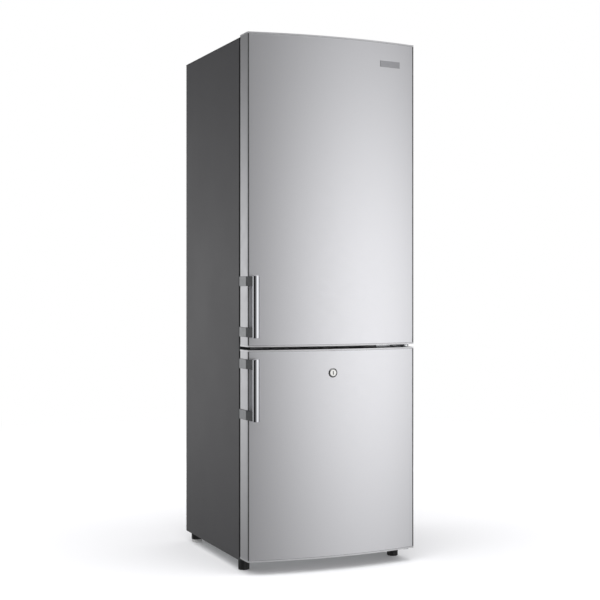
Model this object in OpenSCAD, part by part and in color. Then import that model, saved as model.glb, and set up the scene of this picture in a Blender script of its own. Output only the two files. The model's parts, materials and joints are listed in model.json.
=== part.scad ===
// Two-door fridge freezer with a bowed front, bar handles on the left and hinges on the right.
// Millimetres. X runs to the right, Y to the back and Z up. Every place is worked out from the
// cabinet: x = 0 is its middle, y = 0 the plane of its front edge and z = 0 the floor.
// in_place() then moves the whole to the middle of its own outline.

/* [Cabinet] */
// Width of the cabinet and of both doors
body_w = 600; // [580:5:640]
// Depth of the cabinet from its front edge to the rear edges of the side panels
cabinet_depth = 552; // [540:2:600]
// Height of the cabinet without its feet
cabinet_h = 1696; // [1660:4:1780]
// Height of the cabinet's underside above the floor
foot_h = 36; // [32:1:44]
// Thickness of the outer steel sheets
sheet_t = 1; // [0.6:0.1:1.4]
// Thickness of the top lid
lid_t = 4; // [3:0.5:6]
// Thickness of the base plate
base_t = 2; // [1.5:0.5:3]
// Width of the flange that the side panels turn in at the front, under the door seals
front_flange = 38; // [36:1:40]
// Width of the flange that the side panels turn in at the back
rear_flange = 14; // [10:1:20]
// Depth of the back sheet in from the rear edges of the side panels
back_inset = 11; // [8:1:16]

/* [Compartments] */
// Insulated side wall of the fridge
fridge_wall = 45; // [43:1:50]
// Insulated side wall of the freezer
freezer_wall = 60; // [56:1:66]
// Insulated top wall
top_wall = 50; // [46:1:60]
// Insulated floor
floor_wall = 60; // [50:1:70]
// Half the thickness of the wall between the compartments
divider_half = 35; // [34:1:42]
// Insulated back wall of the fridge
fridge_back = 46; // [40:1:60]
// Insulated back wall of the freezer
freezer_back = 80; // [76:1:90]
// Thickness of the moulded liners
liner_t = 2; // [1.5:0.5:3]
// Height of the machine room above the cabinet's underside
machine_h = 215; // [205:5:230]
// Depth of the machine room
machine_d = 180; // [176:2:200]
// Insulation over and in front of the machine room
machine_wall = 40; // [36:1:50]
// Inset of the cross rails from the compartments' edges
rail_lap = 5; // [4:1:8]
// Depth of the channel of the cross rails
rail_depth = 16; // [15:1:20]

/* [Doors] */
// Height of the freezer door
lower_door_h = 677; // [661:4:721]
// Gap between the two doors
door_gap = 10; // [7.5:0.5:10]
// Height of the freezer door's lower edge above the cabinet's underside
door_rise = 8; // [7:0.5:12]
// Rise of the fridge door above the cabinet
door_over = 6; // [5:0.5:8]
// Thickness of the doors at their sides
door_side = 67; // [60:1:75]
// Gap between the doors and the cabinet, filled by the seals
gasket_gap = 11; // [10:0.5:14]
// How far the middle of the front bows out past its side edges
front_bulge = 33; // [20:1:45]
// Thickness of the front skin
skin_t = 1; // [0.6:0.1:1.4]
// Distance of the front skin's edge from the side of the door
skin_inset = 4.5; // [4:0.5:7]
// Thickness of the side trims
trim_t = 1.2; // [1:0.1:1.8]
// Length over which the side trims turn in at the front
trim_curve = 18; // [12:1:24]
// How far the side trims turn in at the front
trim_turn = 1.2; // [0.6:0.1:1.6]
// How far the front edge of the side trims stays behind the corner of the door
trim_setback = 2; // [1:0.5:3]
// Depth of the seam between trim and skin
seam_depth = 3.5; // [2:0.5:5]
// Thickness of the end caps
cap_t = 5; // [4:0.5:7]
// How far the end caps stand behind the back of the door
cap_proud = 4.5; // [3:0.5:4.5]
// Rounding of the end caps' rear corners
cap_corner = 4; // [3:0.5:6]
// Distance of the seals from the edges of the doors
seal_inset = 18; // [17:0.5:20]
// Width of the seals
seal_w = 24; // [20:1:26]
// Air between the closed seals and the cabinet
seal_air = 0.4; // [0.3:0.1:0.8]

/* [Hinges and lock] */
// Distance of the hinge line from the right side
hinge_in = 22; // [22:1:26]
// Distance of the hinge line in front of the cabinet
hinge_front = 48; // [48:1:54]
// Radius of the hinge pins
pin_r = 4.5; // [3.5:0.5:5.5]
// Running clearance round the hinge pins
pin_clear = 0.05; // [0.03:0.01:0.1]
// Depth of the pins in the doors
pin_len = 18; // [12:1:24]
// Thickness of the middle hinge's arm
hinge_arm_t = 5; // [4:0.5:5.5]
// Thickness of the hinge flanges on the cabinet's front
hinge_flange_t = 2; // [1.5:0.1:2]
// Width of the middle hinge's flange
hinge_flange_w = 94; // [80:2:110]
// Height of the middle hinge's flange
hinge_flange_h = 40; // [34:1:40]
// Air under a door that sits on its hinge
seat_air = 0.2; // [0.1:0.1:0.4]
// Distance of the lock below the freezer door's upper edge
lock_drop = 77; // [76:1:90]
// Place of the lock to the left of the middle
lock_left = 16; // [0:1:40]
// Radius of the lock's bezel
lock_bezel_r = 15.5; // [14:0.5:18]
// Radius of the lock's plug
lock_plug_r = 10.5; // [8:0.5:11]
// Running clearance round the plug
plug_clear = 0.05; // [0.03:0.01:0.1]
// Thickness of the lock's tongue
cam_t = 3; // [2:0.5:4]
// Width of the lock's tongue
cam_w = 14; // [10:1:16]
// How far the turned tongue reaches into the divider
cam_reach = 13; // [9:1:16]
// Place of the tongue behind the cabinet's front plane
cam_y = 8; // [6:0.5:9]

/* [Handles] */
// Length of the handle bars
bar_len = 198; // [160:2:240]
// Width of the handle bars
bar_w = 22; // [18:1:26]
// Depth of the handle bars
bar_d = 12; // [10:1:16]
// Depth of the bars' flat sides, behind the bowed front
bar_side = 7; // [5:0.5:8]
// Distance of the bars' middle from the left side
bar_in = 13; // [10:0.5:14]
// Distance of the bars' middle in front of the door's corner
bar_front = 45; // [40:1:55]
// Distance of the fridge handle above the fridge door's lower edge
upper_bar_up = 30; // [15:1:60]
// Distance of the freezer handle below the freezer door's upper edge
lower_bar_down = 27; // [15:1:60]
// Height of each bracket
bracket_h = 31; // [24:1:40]
// Distance of the brackets from the bar's ends
bracket_inset = 2; // [0:0.5:6]
// How far the brackets' side plates stand out from the door
bracket_proud = 3.5; // [2.5:0.5:5]

/* [Shelves and drawers] */
// Number of glass shelves above the crisper cover
shelf_count = 3; // [2:1:4]
// Thickness of the glass
glass_t = 4; // [3:0.5:5]
// Distance of the shelves' front edge from the cabinet's front plane
shelf_front = 120; // [118:1:140]
// Height of the crispers
crisper_h = 180; // [150:5:200]
// Distance of the crispers' front from the cabinet's front plane
crisper_front = 107; // [107:1:112]
// Distance of the freezer drawers' front from the cabinet's front plane
drawer_front = 38; // [38:1:46]
// Free width at the hinge side, which lets the drawers pass the open door
drawer_side = 76; // [76:1:82]
// Wall of the drawers and crispers
bin_wall = 3; // [2:0.5:4]
// How far the door shelves reach behind the cabinet's front plane
balcony_in = 95; // [80:1:95]
// Number of small door shelves
balcony_count = 3; // [2:1:3]
// Height of the small door shelves
balcony_h = 75; // [60:1:90]
// Height of the bottle shelf
bottle_h = 120; // [100:2:150]
// Wall of the door shelves
balcony_wall = 2.5; // [2:0.5:3.5]

/* [Cooling] */
// Number of condenser tube runs
condenser_runs = 19; // [15:2:21]
// Radius of the condenser tube
tube_r = 2.4; // [2:0.1:3]
// Radius of the condenser wires
wire_r = 0.8; // [0.6:0.1:1]
// Number of condenser wires
wire_count = 38; // [20:1:60]
// Radius of the compressor
compressor_r = 76; // [66:1:78]
// Height of the compressor
compressor_h = 140; // [120:1:146]

/* [Feet] */
// Radius of the feet
foot_r = 19; // [16:0.5:22]
// Distance of the feet from the sides
foot_in = 27; // [26:1:36]
// Distance of the front feet behind the cabinet's front
foot_front = 28; // [19:1:40]
// Distance of the rear feet in front of the cabinet's back
foot_rear = 42; // [30:1:60]
// Radius of the levelling screws
foot_screw_r = 4; // [3:0.5:5]
// How far the front feet screw out
foot_travel = 12; // [8:1:20]

/* [Hidden] */

// Fine steps for the wide bow of the doors and common steps for small round parts
bow_steps = 240;
round_steps = 48;

// Main planes of the cabinet
half_w = body_w / 2;
body_z0 = foot_h;
body_z1 = foot_h + cabinet_h;
back_y = cabinet_depth - back_inset;
base_top = body_z0 + base_t;
lid_z = body_z1 - lid_t;

// Doors, and the wall between the compartments, which is centred on the gap
lower_z0 = body_z0 + door_rise;
lower_z1 = lower_z0 + lower_door_h;
upper_z0 = lower_z1 + door_gap;
upper_z1 = body_z1 + door_over;
mid_z = lower_z1 + door_gap / 2;
door_back_y = -gasket_gap;
corner_y = door_back_y - door_side;
apex_y = corner_y - front_bulge;
bow_r = (half_w * half_w + front_bulge * front_bulge) / (2 * front_bulge);
bow_y = apex_y + bow_r;
skin_half = half_w - skin_inset;
trim_front_y = corner_y + trim_setback;
seam_y = trim_front_y + seam_depth;
cap_back_y = door_back_y + cap_proud;
liner_back_y = door_back_y + liner_t;
seal_root_t = 2;
seal_lip_t = 3;
function bow_front(x) = bow_y - sqrt(bow_r * bow_r - x * x);

// Gentle front curve of the side trims, as [distance in from the side, depth]
trim_r = (trim_curve * trim_curve + trim_turn * trim_turn) / (2 * trim_turn);
trim_steps = 8;
function trim_points(off) = [
    for (i = [0 : trim_steps])
        let (run = trim_curve * i / trim_steps)
            [off + trim_r - sqrt(trim_r * trim_r - run * run), trim_front_y + trim_curve - run]
];

// Handles
upper_bar_z = upper_z0 + upper_bar_up;
lower_bar_z = lower_z1 - lower_bar_down - bar_len;

// Compartments
fridge_half = half_w - fridge_wall;
freezer_half = half_w - freezer_wall;
fridge_z0 = mid_z + divider_half;
fridge_z1 = body_z1 - top_wall;
fridge_y1 = back_y - fridge_back;
freezer_z0 = body_z0 + floor_wall;
freezer_z1 = mid_z - divider_half;
freezer_y1 = back_y - freezer_back;
machine_y0 = cabinet_depth - machine_d;
machine_z1 = body_z0 + machine_h;
step_z = machine_z1 + machine_wall + liner_t;
step_y = machine_y0 - machine_wall - liner_t;
rail_half = half_w - front_flange;

// Hinge line and lock
hinge_x = half_w - hinge_in;
hinge_y = -hinge_front;
bush_r = pin_r + 3.5;
bore_r = pin_r + pin_clear;
arm_half = 15;
top_arm_z = upper_z1 + 1;
top_arm_t = 3.5;
top_plate_x0 = hinge_x - 38;
top_plate_x1 = hinge_x + arm_half;
top_plate_y0 = 8;
top_plate_y1 = 62;
bottom_arm_z0 = body_z0 + 1;
bottom_arm_z1 = lower_z0 - 3;
bottom_flange_h = 20;
flange_x1 = hinge_x + 12;
low_flange_w = 60;
mid_screw_far = 74;
mid_screw_near = 46;
mid_screw_dz = 12;
low_screw_far = 50;
low_screw_near = 30;
washer_r = pin_r + 2.5;
lock_z = lower_z1 - lock_drop;
case_r = lock_plug_r + 2.5;
cam_len = freezer_z1 + cam_reach - lock_z;
slot_left = sqrt(cam_len * cam_len + cam_w * cam_w / 4 - pow(freezer_z1 - liner_t - lock_z, 2)) + 2;
slot_right = cam_w / 2 + 3;
slot_y0 = cam_y - 3;
slot_y1 = cam_y + cam_t + 3;
bezel_y = bow_front(lock_left) - 0.3;
bezel_t = 2;

// Door liners: ridges that carry the door shelves, and the raised field of the freezer door
ridge_y = 30;
ridge_w = 20;
ridge_half = fridge_half - 20;
ridge_z0 = fridge_z0 + 12;
ridge_z1 = fridge_z1 - 6;
field_half = freezer_half - 15;
field_z0 = freezer_z0 + 15;
field_z1 = lock_z - 34;
field_y = 14;

// Door shelves hang between the ridges
shelf_half = ridge_half - ridge_w - 2;
bottle_z = ridge_z0 + ridge_w + 6;
bottle_room = 300;
balcony_z0 = bottle_z + bottle_room;
flap_clear = 0.4;
flap_t = 3;
flap_pin_r = 2.5;
flap_y = liner_back_y + flap_pin_r + 1.5;
balcony_top = ridge_z1 - ridge_w - (balcony_in - flap_y) - 8 - balcony_h;
balcony_step = (balcony_top - balcony_z0) / (balcony_count - 1);
flap_z = balcony_top + balcony_h + flap_clear;
small_shelf_heights = [for (i = [0 : balcony_count - 1]) balcony_z0 + i * balcony_step];
shelf_heights = concat([bottle_z], small_shelf_heights);

// Shelves, crispers and freezer drawers
ledge_w = 8;
ledge_t = 6;
cover_z = fridge_z0 + crisper_h + 16;
lamp_z = fridge_z1 - 57;
shelf_step = (lamp_z - 30 - cover_z) / (shelf_count + 1);
shelf_y1 = fridge_y1 - 10;
bin_half = half_w - drawer_side;
bin_air = 0.3;
plate_t = 2;
plate_r = 3;
plate_z = step_z + 0.3;
bay_h = (freezer_z1 - plate_z - plate_t) / 2;
drawer_head = 10;
grip_h = 22;
grip_d = 14;

// Control box under the fridge's ceiling
box_half = 95;
box_y0 = shelf_front - 10;
box_len = 180;
box_y1 = box_y0 + box_len;
box_h = 42;
box_wall = 2;
knob_r = 18;
knob_h = 15;
knob_shaft_r = 3;
knob_z = fridge_z1 - box_h / 2;
nose_half = 16;
nose_h = 26;
nose_y0 = ridge_y + 8;
switch_x = box_half - nose_half;
switch_z = fridge_z1 - 14;
switch_r = 4;
switch_len = 50;
switch_clear = 0.05;

// Thread of the levelling screws above the base plate, longer than their travel
foot_thread = foot_travel + 14;

// Machine room
compressor_x = 70;
compressor_y = cabinet_depth - machine_d / 2 - 2;
mount_h = 18;
compressor_z0 = base_top + mount_h;
mount_dx = 72;
mount_dy = 52;
tray_h = 34;
tray_wall = 2.5;
tray_z = compressor_z0 + compressor_h + 4;
drain_r = 7;
drain_x = compressor_x;
drain_y = freezer_y1 + liner_t + 20;
relay_w = 58;
relay_d = 34;
drier_r = 9;
drier_len = 100;
drier_x = -110;
drier_y = cabinet_depth - 60;
drier_z = base_top + 90;

// Condenser on the back
condenser_half = half_w - 65;
condenser_y = back_y + 14;
condenser_z0 = machine_z1 + 60;
condenser_drop = 160;
condenser_z1 = body_z1 - condenser_drop;
run_step = (condenser_z1 - condenser_z0) / (condenser_runs - 1);
bend_r = run_step / 2;
run_half = condenser_half - bend_r;
bend_extra = 0.02;
wire_air = 0.05;
wire_off = tube_r + wire_r + wire_air;
clip_w = 24;
clip_x = run_half - clip_w / 2 - 1;
wire_half = clip_x - clip_w / 2 - 4;
evaporator_half = fridge_half - 55;
evaporator_z0 = cover_z + 40;
evaporator_z1 = lamp_z - 120;

// Screws of the hinges
screw_r = 5;
screw_h = 2;

// Outline of the whole, which in_place() centres
bar_x = -half_w + bar_in;
bar_y = corner_y - bar_front;
outline_x0 = -half_w - bracket_proud;
outline_x1 = half_w;
outline_y0 = bar_y - bar_d / 2;
outline_y1 = condenser_y + wire_off + wire_r;

module in_place() {
    translate([-(outline_x0 + outline_x1) / 2, -(outline_y0 + outline_y1) / 2, 0])
        children();
}

// A box from one corner to the opposite one
module slab(x0, x1, y0, y1, z0, z1) {
    translate([x0, y0, z0])
        cube([x1 - x0, y1 - y0, z1 - z0]);
}

// A round bar along Z, along Y or along X
module post(x, y, z0, z1, r) {
    translate([x, y, z0])
        cylinder(h = z1 - z0, r = r, $fn = round_steps);
}

module bolt_y(x, y0, y1, z, r) {
    translate([x, y0, z])
        rotate([-90, 0, 0])
            cylinder(h = y1 - y0, r = r, $fn = round_steps);
}

module rod_x(x0, x1, y, z, r) {
    translate([x0, y, z])
        rotate([0, 90, 0])
            cylinder(h = x1 - x0, r = r, $fn = 24);
}

// CABINET SHELL

// Side panel: folded steel, with a flange under the seals and one at the back
module side_panel(side) {
    mirror([side < 0 ? 1 : 0, 0, 0]) {
        slab(half_w - sheet_t, half_w, 0, cabinet_depth, body_z0, lid_z);
        slab(half_w - front_flange, half_w - sheet_t, 0, sheet_t, body_z0, lid_z);
        slab(half_w - rear_flange, half_w - sheet_t, cabinet_depth - sheet_t, cabinet_depth, body_z0, lid_z);
    }
}

module left_side_panel() {
    color("#5d5d5f")
        in_place()
            side_panel(-1);
}

module right_side_panel() {
    color("#5d5d5f")
        in_place()
            side_panel(1);
}

// Lid: a moulded plate with a raised rim
module top_lid() {
    rim_w = 12;
    color("#242426")
        in_place()
            difference() {
                slab(-half_w, half_w, 0, cabinet_depth, lid_z, body_z1);
                slab(-half_w + rim_w, half_w - rim_w, top_plate_y1 + 10, cabinet_depth - rim_w,
                     body_z1 - 1, body_z1 + 1);
            }
}

// Back sheet: one sheet behind the foam, folded forward over and down in front of the machine room
module back_sheet() {
    half = half_w - sheet_t;
    color("#b9bbbd")
        in_place()
            difference() {
                union() {
                    slab(-half, half, back_y - sheet_t, back_y, machine_z1 - sheet_t, lid_z);
                    slab(-half, half, machine_y0 - sheet_t, back_y, machine_z1 - sheet_t, machine_z1);
                    slab(-half, half, machine_y0 - sheet_t, machine_y0, base_top, machine_z1);
                }
                post(drain_x, drain_y, machine_z1 - 5, machine_z1 + 5, drain_r + 0.2);
            }
}

module base_plate() {
    half = half_w - sheet_t;
    color("#8f9193")
        in_place()
            difference() {
                slab(-half, half, sheet_t, cabinet_depth - sheet_t, body_z0, base_top);
                for (side = [-1, 1])
                    post(side * (half_w - foot_in), foot_front, body_z0 - 1, base_top + 1, foot_screw_r + 0.05);
            }
}

// The foam fills what the sheets and the liners leave
module cabinet_foam() {
    half = half_w - sheet_t;
    color("#e8d9a0")
        in_place()
            difference() {
                slab(-half, half, sheet_t, back_y - sheet_t, base_top, lid_z);
                slab(-half - 1, half + 1, machine_y0 - sheet_t, back_y, base_top - 1, machine_z1);
                fridge_liner_block();
                freezer_liner_block();
                rail_block(freezer_z1 + liner_t + rail_lap, fridge_z0 - liner_t - rail_lap);
                rail_block(fridge_z1 + liner_t + rail_lap, lid_z + 1);
                rail_block(base_top - 1, freezer_z0 - liner_t - rail_lap);
                cam_slot(freezer_z1 - 1, mid_z);
                evaporator_sheet();
                post(drain_x, drain_y, machine_z1 - 1, fridge_z0, drain_r + 0.2);
                for (side = [-1, 1])
                    post(side * (half_w - foot_in), foot_front, base_top - 1, base_top + foot_thread + 4,
                         foot_screw_r + 1);
            }
}

module fridge_liner_block() {
    slab(-fridge_half - liner_t, fridge_half + liner_t, -1, fridge_y1 + liner_t,
         fridge_z0 - liner_t, fridge_z1 + liner_t);
}

module freezer_liner_block() {
    slab(-freezer_half - liner_t, freezer_half + liner_t, -1, step_y + liner_t,
         freezer_z0 - liner_t, freezer_z1 + liner_t);
    slab(-freezer_half - liner_t, freezer_half + liner_t, -1, freezer_y1 + liner_t,
         step_z - liner_t, freezer_z1 + liner_t);
}

module rail_block(z0, z1) {
    slab(-rail_half, rail_half, 0, rail_depth, z0, z1);
}

// Slot in the freezer's ceiling, into which the lock's tongue turns
module cam_slot(z0, z1) {
    slab(-lock_left - slot_left, -lock_left + slot_right, slot_y0, slot_y1, z0, z1);
}

// Front flange of a liner, flush with the steel flanges
module liner_flange(half, z0, z1) {
    difference() {
        slab(-rail_half, rail_half, 0, sheet_t, z0 - liner_t - rail_lap, z1 + liner_t + rail_lap);
        slab(-half, half, -1, sheet_t + 1, z0, z1);
    }
}

// Pair of ledges moulded in the side walls
module ledge_pair(half, y0, y1, z) {
    for (side = [-1, 1])
        slab(side < 0 ? -half : half - ledge_w, side < 0 ? -half + ledge_w : half, y0, y1, z - ledge_t, z);
}

module fridge_liner() {
    color("#f1f2f2")
        in_place()
            union() {
                difference() {
                    fridge_liner_block();
                    slab(-fridge_half, fridge_half, -2, fridge_y1, fridge_z0, fridge_z1);
                    slab(-half_w, half_w, -2, 0, body_z0, body_z1);
                    post(drain_x, drain_y, fridge_z0 - 5, fridge_z0 + 1, drain_r - 2);
                }
                liner_flange(fridge_half, fridge_z0, fridge_z1);
                for (i = [0 : shelf_count])
                    ledge_pair(fridge_half, shelf_front + 10, shelf_y1, cover_z + i * shelf_step);
                for (i = [1 : shelf_count])
                    ledge_pair(fridge_half, shelf_front + 10, shelf_y1, cover_z + (i - 0.5) * shelf_step);
            }
}

module freezer_liner() {
    color("#f1f2f2")
        in_place()
            difference() {
                union() {
                    difference() {
                        freezer_liner_block();
                        slab(-freezer_half, freezer_half, -2, step_y, freezer_z0, freezer_z1);
                        slab(-freezer_half, freezer_half, -2, freezer_y1, step_z, freezer_z1);
                        slab(-half_w, half_w, -2, 0, body_z0, body_z1);
                    }
                    liner_flange(freezer_half, freezer_z0, freezer_z1);
                    ledge_pair(freezer_half, drawer_front + 20, step_y, plate_z);
                    ledge_pair(freezer_half, drawer_front + 20, freezer_y1 - 10, plate_z + bay_h);
                }
                cam_slot(freezer_z1 - 1, freezer_z1 + 20);
            }
}

// Cross rail: a steel channel between the side flanges, open to the back
module cross_rail(z0, z1) {
    difference() {
        rail_block(z0, z1);
        slab(-rail_half - 1, rail_half + 1, sheet_t, rail_depth + 1, z0 + sheet_t, z1 - sheet_t);
    }
}

module cross_rails() {
    centre_z0 = freezer_z1 + liner_t + rail_lap;
    color("#c9cacc")
        in_place() {
            difference() {
                cross_rail(centre_z0, fridge_z0 - liner_t - rail_lap);
                cam_slot(freezer_z1, centre_z0 + 2 * sheet_t);
            }
            cross_rail(fridge_z1 + liner_t + rail_lap, lid_z);
            cross_rail(base_top, freezer_z0 - liner_t - rail_lap);
        }
}

// HINGES

module hinge_pin(z0, z1) {
    post(hinge_x, hinge_y, z0, z1, pin_r);
}

// Flat arm from the cabinet's front plane out to the hinge line
module hinge_arm(y1, z0, z1) {
    slab(hinge_x - arm_half, hinge_x + arm_half, hinge_y, y1, z0, z1);
    post(hinge_x, hinge_y, z0, z1, arm_half);
}

module top_hinge() {
    color("#8b8d90")
        in_place()
            union() {
                hinge_arm(top_plate_y1, top_arm_z, top_arm_z + top_arm_t);
                slab(top_plate_x0, top_plate_x1, top_plate_y0, top_plate_y1, body_z1, top_arm_z + top_arm_t);
                hinge_pin(upper_z1 - pin_len, top_arm_z + 1);
            }
}

module middle_hinge() {
    arm_z0 = mid_z - hinge_arm_t / 2;
    arm_z1 = mid_z + hinge_arm_t / 2;
    color("#c3c5c8")
        in_place()
            union() {
                hinge_arm(-hinge_flange_t / 2, arm_z0, arm_z1);
                slab(flange_x1 - hinge_flange_w, flange_x1, -hinge_flange_t, 0,
                     mid_z - hinge_flange_h / 2, mid_z + hinge_flange_h / 2);
                hinge_pin(lower_z1 - pin_len, upper_z0 + pin_len);
                post(hinge_x, hinge_y, arm_z1 - 1, upper_z0 - seat_air, washer_r);
            }
}

module bottom_hinge() {
    color("#8b8d90")
        in_place()
            union() {
                hinge_arm(-hinge_flange_t / 2, bottom_arm_z0, bottom_arm_z1);
                slab(hinge_x - low_flange_w, flange_x1, -hinge_flange_t, 0,
                     bottom_arm_z0, bottom_arm_z0 + bottom_flange_h);
                hinge_pin(bottom_arm_z0 + 1, lower_z0 + pin_len);
                post(hinge_x, hinge_y, bottom_arm_z1 - 1, lower_z0 - seat_air, washer_r);
            }
}

// Pan heads of the hinge screws
module hinge_screws() {
    top_z = top_arm_z + top_arm_t;
    color("#d4d6d8")
        in_place() {
            for (x = [top_plate_x0 + 10, hinge_x - 4])
                for (y = [top_plate_y0 + 12, top_plate_y1 - 12])
                    post(x, y, top_z, top_z + screw_h, screw_r);
            for (x = [hinge_x - mid_screw_far, hinge_x - mid_screw_near])
                for (z = [mid_z - mid_screw_dz, mid_z + mid_screw_dz])
                    bolt_y(x, -hinge_flange_t - screw_h, -hinge_flange_t, z, screw_r);
            for (x = [hinge_x - low_screw_far, hinge_x - low_screw_near])
                bolt_y(x, -hinge_flange_t - screw_h, -hinge_flange_t,
                       bottom_arm_z0 + bottom_flange_h - 7, screw_r);
        }
}

// Cap over the top hinge, open in front where the arm comes out
module top_hinge_cover() {
    wall = 2;
    air = 3;
    x0 = top_plate_x0 - air - wall;
    x1 = half_w - 2;
    y0 = top_plate_y0 - air - wall;
    y1 = top_plate_y1 + air + wall;
    z1 = top_arm_z + top_arm_t + screw_h + 2 + wall;
    color("#2b2b2d")
        in_place()
            difference() {
                slab(x0, x1, y0, y1, body_z1, z1);
                slab(x0 + wall, x1 - wall, y0 + wall, y1 - wall, body_z1 - 1, z1 - wall);
                slab(hinge_x - arm_half - 1, hinge_x + arm_half + 1, y0 - 1, y0 + wall + 1,
                     body_z1 - 1, top_arm_z + top_arm_t + 1);
            }
}

// FEET

// Round foot with a rounded lower edge
module foot_disc(x, y, h) {
    bead = 4;
    translate([x, y, 0])
        rotate_extrude($fn = round_steps)
            union() {
                translate([foot_r - bead, bead])
                    circle(r = bead, $fn = 24);
                square([foot_r - bead, h]);
                translate([0, bead])
                    square([foot_r, h - bead]);
            }
}

module rear_feet() {
    color("#1a1a1b")
        in_place()
            for (side = [-1, 1])
                foot_disc(side * (half_w - foot_in), cabinet_depth - foot_rear, foot_h);
}

// Front foot on its levelling screw, which runs in the base plate
module front_foot(side) {
    x = side * (half_w - foot_in);
    disc_h = foot_h - bin_air;
    color("#1a1a1b")
        in_place()
            union() {
                foot_disc(x, foot_front, disc_h);
                post(x, foot_front, disc_h - 1, base_top + foot_thread, foot_screw_r);
            }
}

module front_left_foot() {
    front_foot(-1);
}

module front_right_foot() {
    front_foot(1);
}

// COOLING CIRCUIT

// Compressor: a welded can with a seam flange and a foot plate
module compressor() {
    shoulder = 30;
    seam_z = compressor_h * 0.55;
    color("#1d1e20")
        in_place()
            union() {
                translate([compressor_x, compressor_y, compressor_z0])
                    rotate_extrude($fn = 72)
                        union() {
                            square([compressor_r - shoulder, compressor_h]);
                            translate([0, shoulder])
                                square([compressor_r, compressor_h - 2 * shoulder]);
                            translate([compressor_r - shoulder, shoulder])
                                circle(r = shoulder, $fn = 48);
                            translate([compressor_r - shoulder, compressor_h - shoulder])
                                circle(r = shoulder, $fn = 48);
                            translate([0, seam_z])
                                square([compressor_r + 3, 5]);
                        }
                difference() {
                    slab(compressor_x - mount_dx - 16, compressor_x + mount_dx + 16,
                         compressor_y - mount_dy - 14, compressor_y + mount_dy + 14,
                         compressor_z0 - 2, compressor_z0 + 1);
                    for (dx = [-mount_dx, mount_dx])
                        for (dy = [-mount_dy, mount_dy])
                            post(compressor_x + dx, compressor_y + dy, compressor_z0 - 3, compressor_z0 + 3, 6);
                }
            }
}

// Rubber grommets between the foot plate and the base, each with its stud
module compressor_mounts() {
    color("#2a2a2a")
        in_place()
            for (dx = [-mount_dx, mount_dx])
                for (dy = [-mount_dy, mount_dy]) {
                    x = compressor_x + dx;
                    y = compressor_y + dy;
                    post(x, y, base_top, compressor_z0 - 2, 12);
                    post(x, y, compressor_z0 - 3, compressor_z0 + 8, 5.8);
                    post(x, y, compressor_z0 + 1, compressor_z0 + 4, 10);
                }
}

module start_relay_box() {
    x1 = compressor_x - compressor_r - 4;
    z0 = compressor_z0 + 34;
    color("#303033")
        in_place()
            difference() {
                union() {
                    slab(x1 - relay_d, x1, compressor_y - relay_w / 2, compressor_y + relay_w / 2,
                         z0, z0 + relay_w);
                    slab(x1 - 1, x1 + 10, compressor_y - 12, compressor_y + 12, z0 + 16, z0 + 40);
                }
                post(compressor_x, compressor_y, z0, z0 + 50, compressor_r + bin_air);
            }
}

// Drier: a short wide tube that necks down at both ends
module filter_drier() {
    neck = 14;
    translate([drier_x - drier_len / 2, drier_y, drier_z])
        rotate([0, 90, 0])
            union() {
                translate([0, 0, neck])
                    cylinder(h = drier_len - 2 * neck, r = drier_r, $fn = round_steps);
                cylinder(h = neck, r1 = tube_r + 0.6, r2 = drier_r, $fn = round_steps);
                translate([0, 0, drier_len - neck])
                    cylinder(h = neck, r1 = drier_r, r2 = tube_r + 0.6, $fn = round_steps);
            }
}

// A tube through a list of corners, with a ball in each corner
module pipe(points, r) {
    for (i = [0 : len(points) - 2]) {
        a = points[i];
        b = points[i + 1];
        d = b - a;
        l = norm(d);
        translate(a)
            rotate([0, acos(d[2] / l), atan2(d[1], d[0])])
                cylinder(h = l, r = r, $fn = 24);
    }
    for (i = [1 : len(points) - 2])
        translate(points[i])
            sphere(r = r, $fn = 24);
}

// Discharge pipe up to the condenser's top, return down to the drier, capillary from the drier
// into the back wall, and suction pipe from there. Pipes end at the compressor's can.
module refrigerant_pipes() {
    side_x = compressor_x + compressor_r + 18;
    riser_x = condenser_half + 12;
    pipe_z = compressor_z0 + compressor_h * 0.4;
    suction_y = compressor_y + compressor_r * 0.45;
    entry_z = machine_z1 + 40;
    drier_x0 = drier_x - drier_len / 2;
    drier_x1 = drier_x + drier_len / 2;
    cap_x = drier_x1 + 15;
    color("#a66a42")
        in_place()
            difference() {
                union() {
                    filter_drier();
                    pipe([[compressor_x, compressor_y, pipe_z], [riser_x, compressor_y, pipe_z],
                          [riser_x, condenser_y, pipe_z], [riser_x, condenser_y, condenser_z1],
                          [run_half, condenser_y, condenser_z1]], tube_r);
                    pipe([[drier_x0 + 2, drier_y, drier_z], [-riser_x, drier_y, drier_z],
                          [-riser_x, condenser_y, drier_z], [-riser_x, condenser_y, condenser_z0],
                          [-run_half, condenser_y, condenser_z0]], tube_r);
                    pipe([[drier_x1 - 2, drier_y, drier_z], [cap_x, drier_y, drier_z],
                          [cap_x, back_y + 6, drier_z], [cap_x, back_y + 6, entry_z],
                          [cap_x, back_y, entry_z]], tube_r / 2);
                    pipe([[compressor_x, suction_y, pipe_z], [side_x, suction_y, pipe_z],
                          [side_x, back_y + 6, pipe_z], [side_x, back_y + 6, entry_z],
                          [side_x, back_y, entry_z]], tube_r + 1);
                }
                post(compressor_x, compressor_y, pipe_z - 8, pipe_z + 8, compressor_r + bin_air);
            }
}

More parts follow.
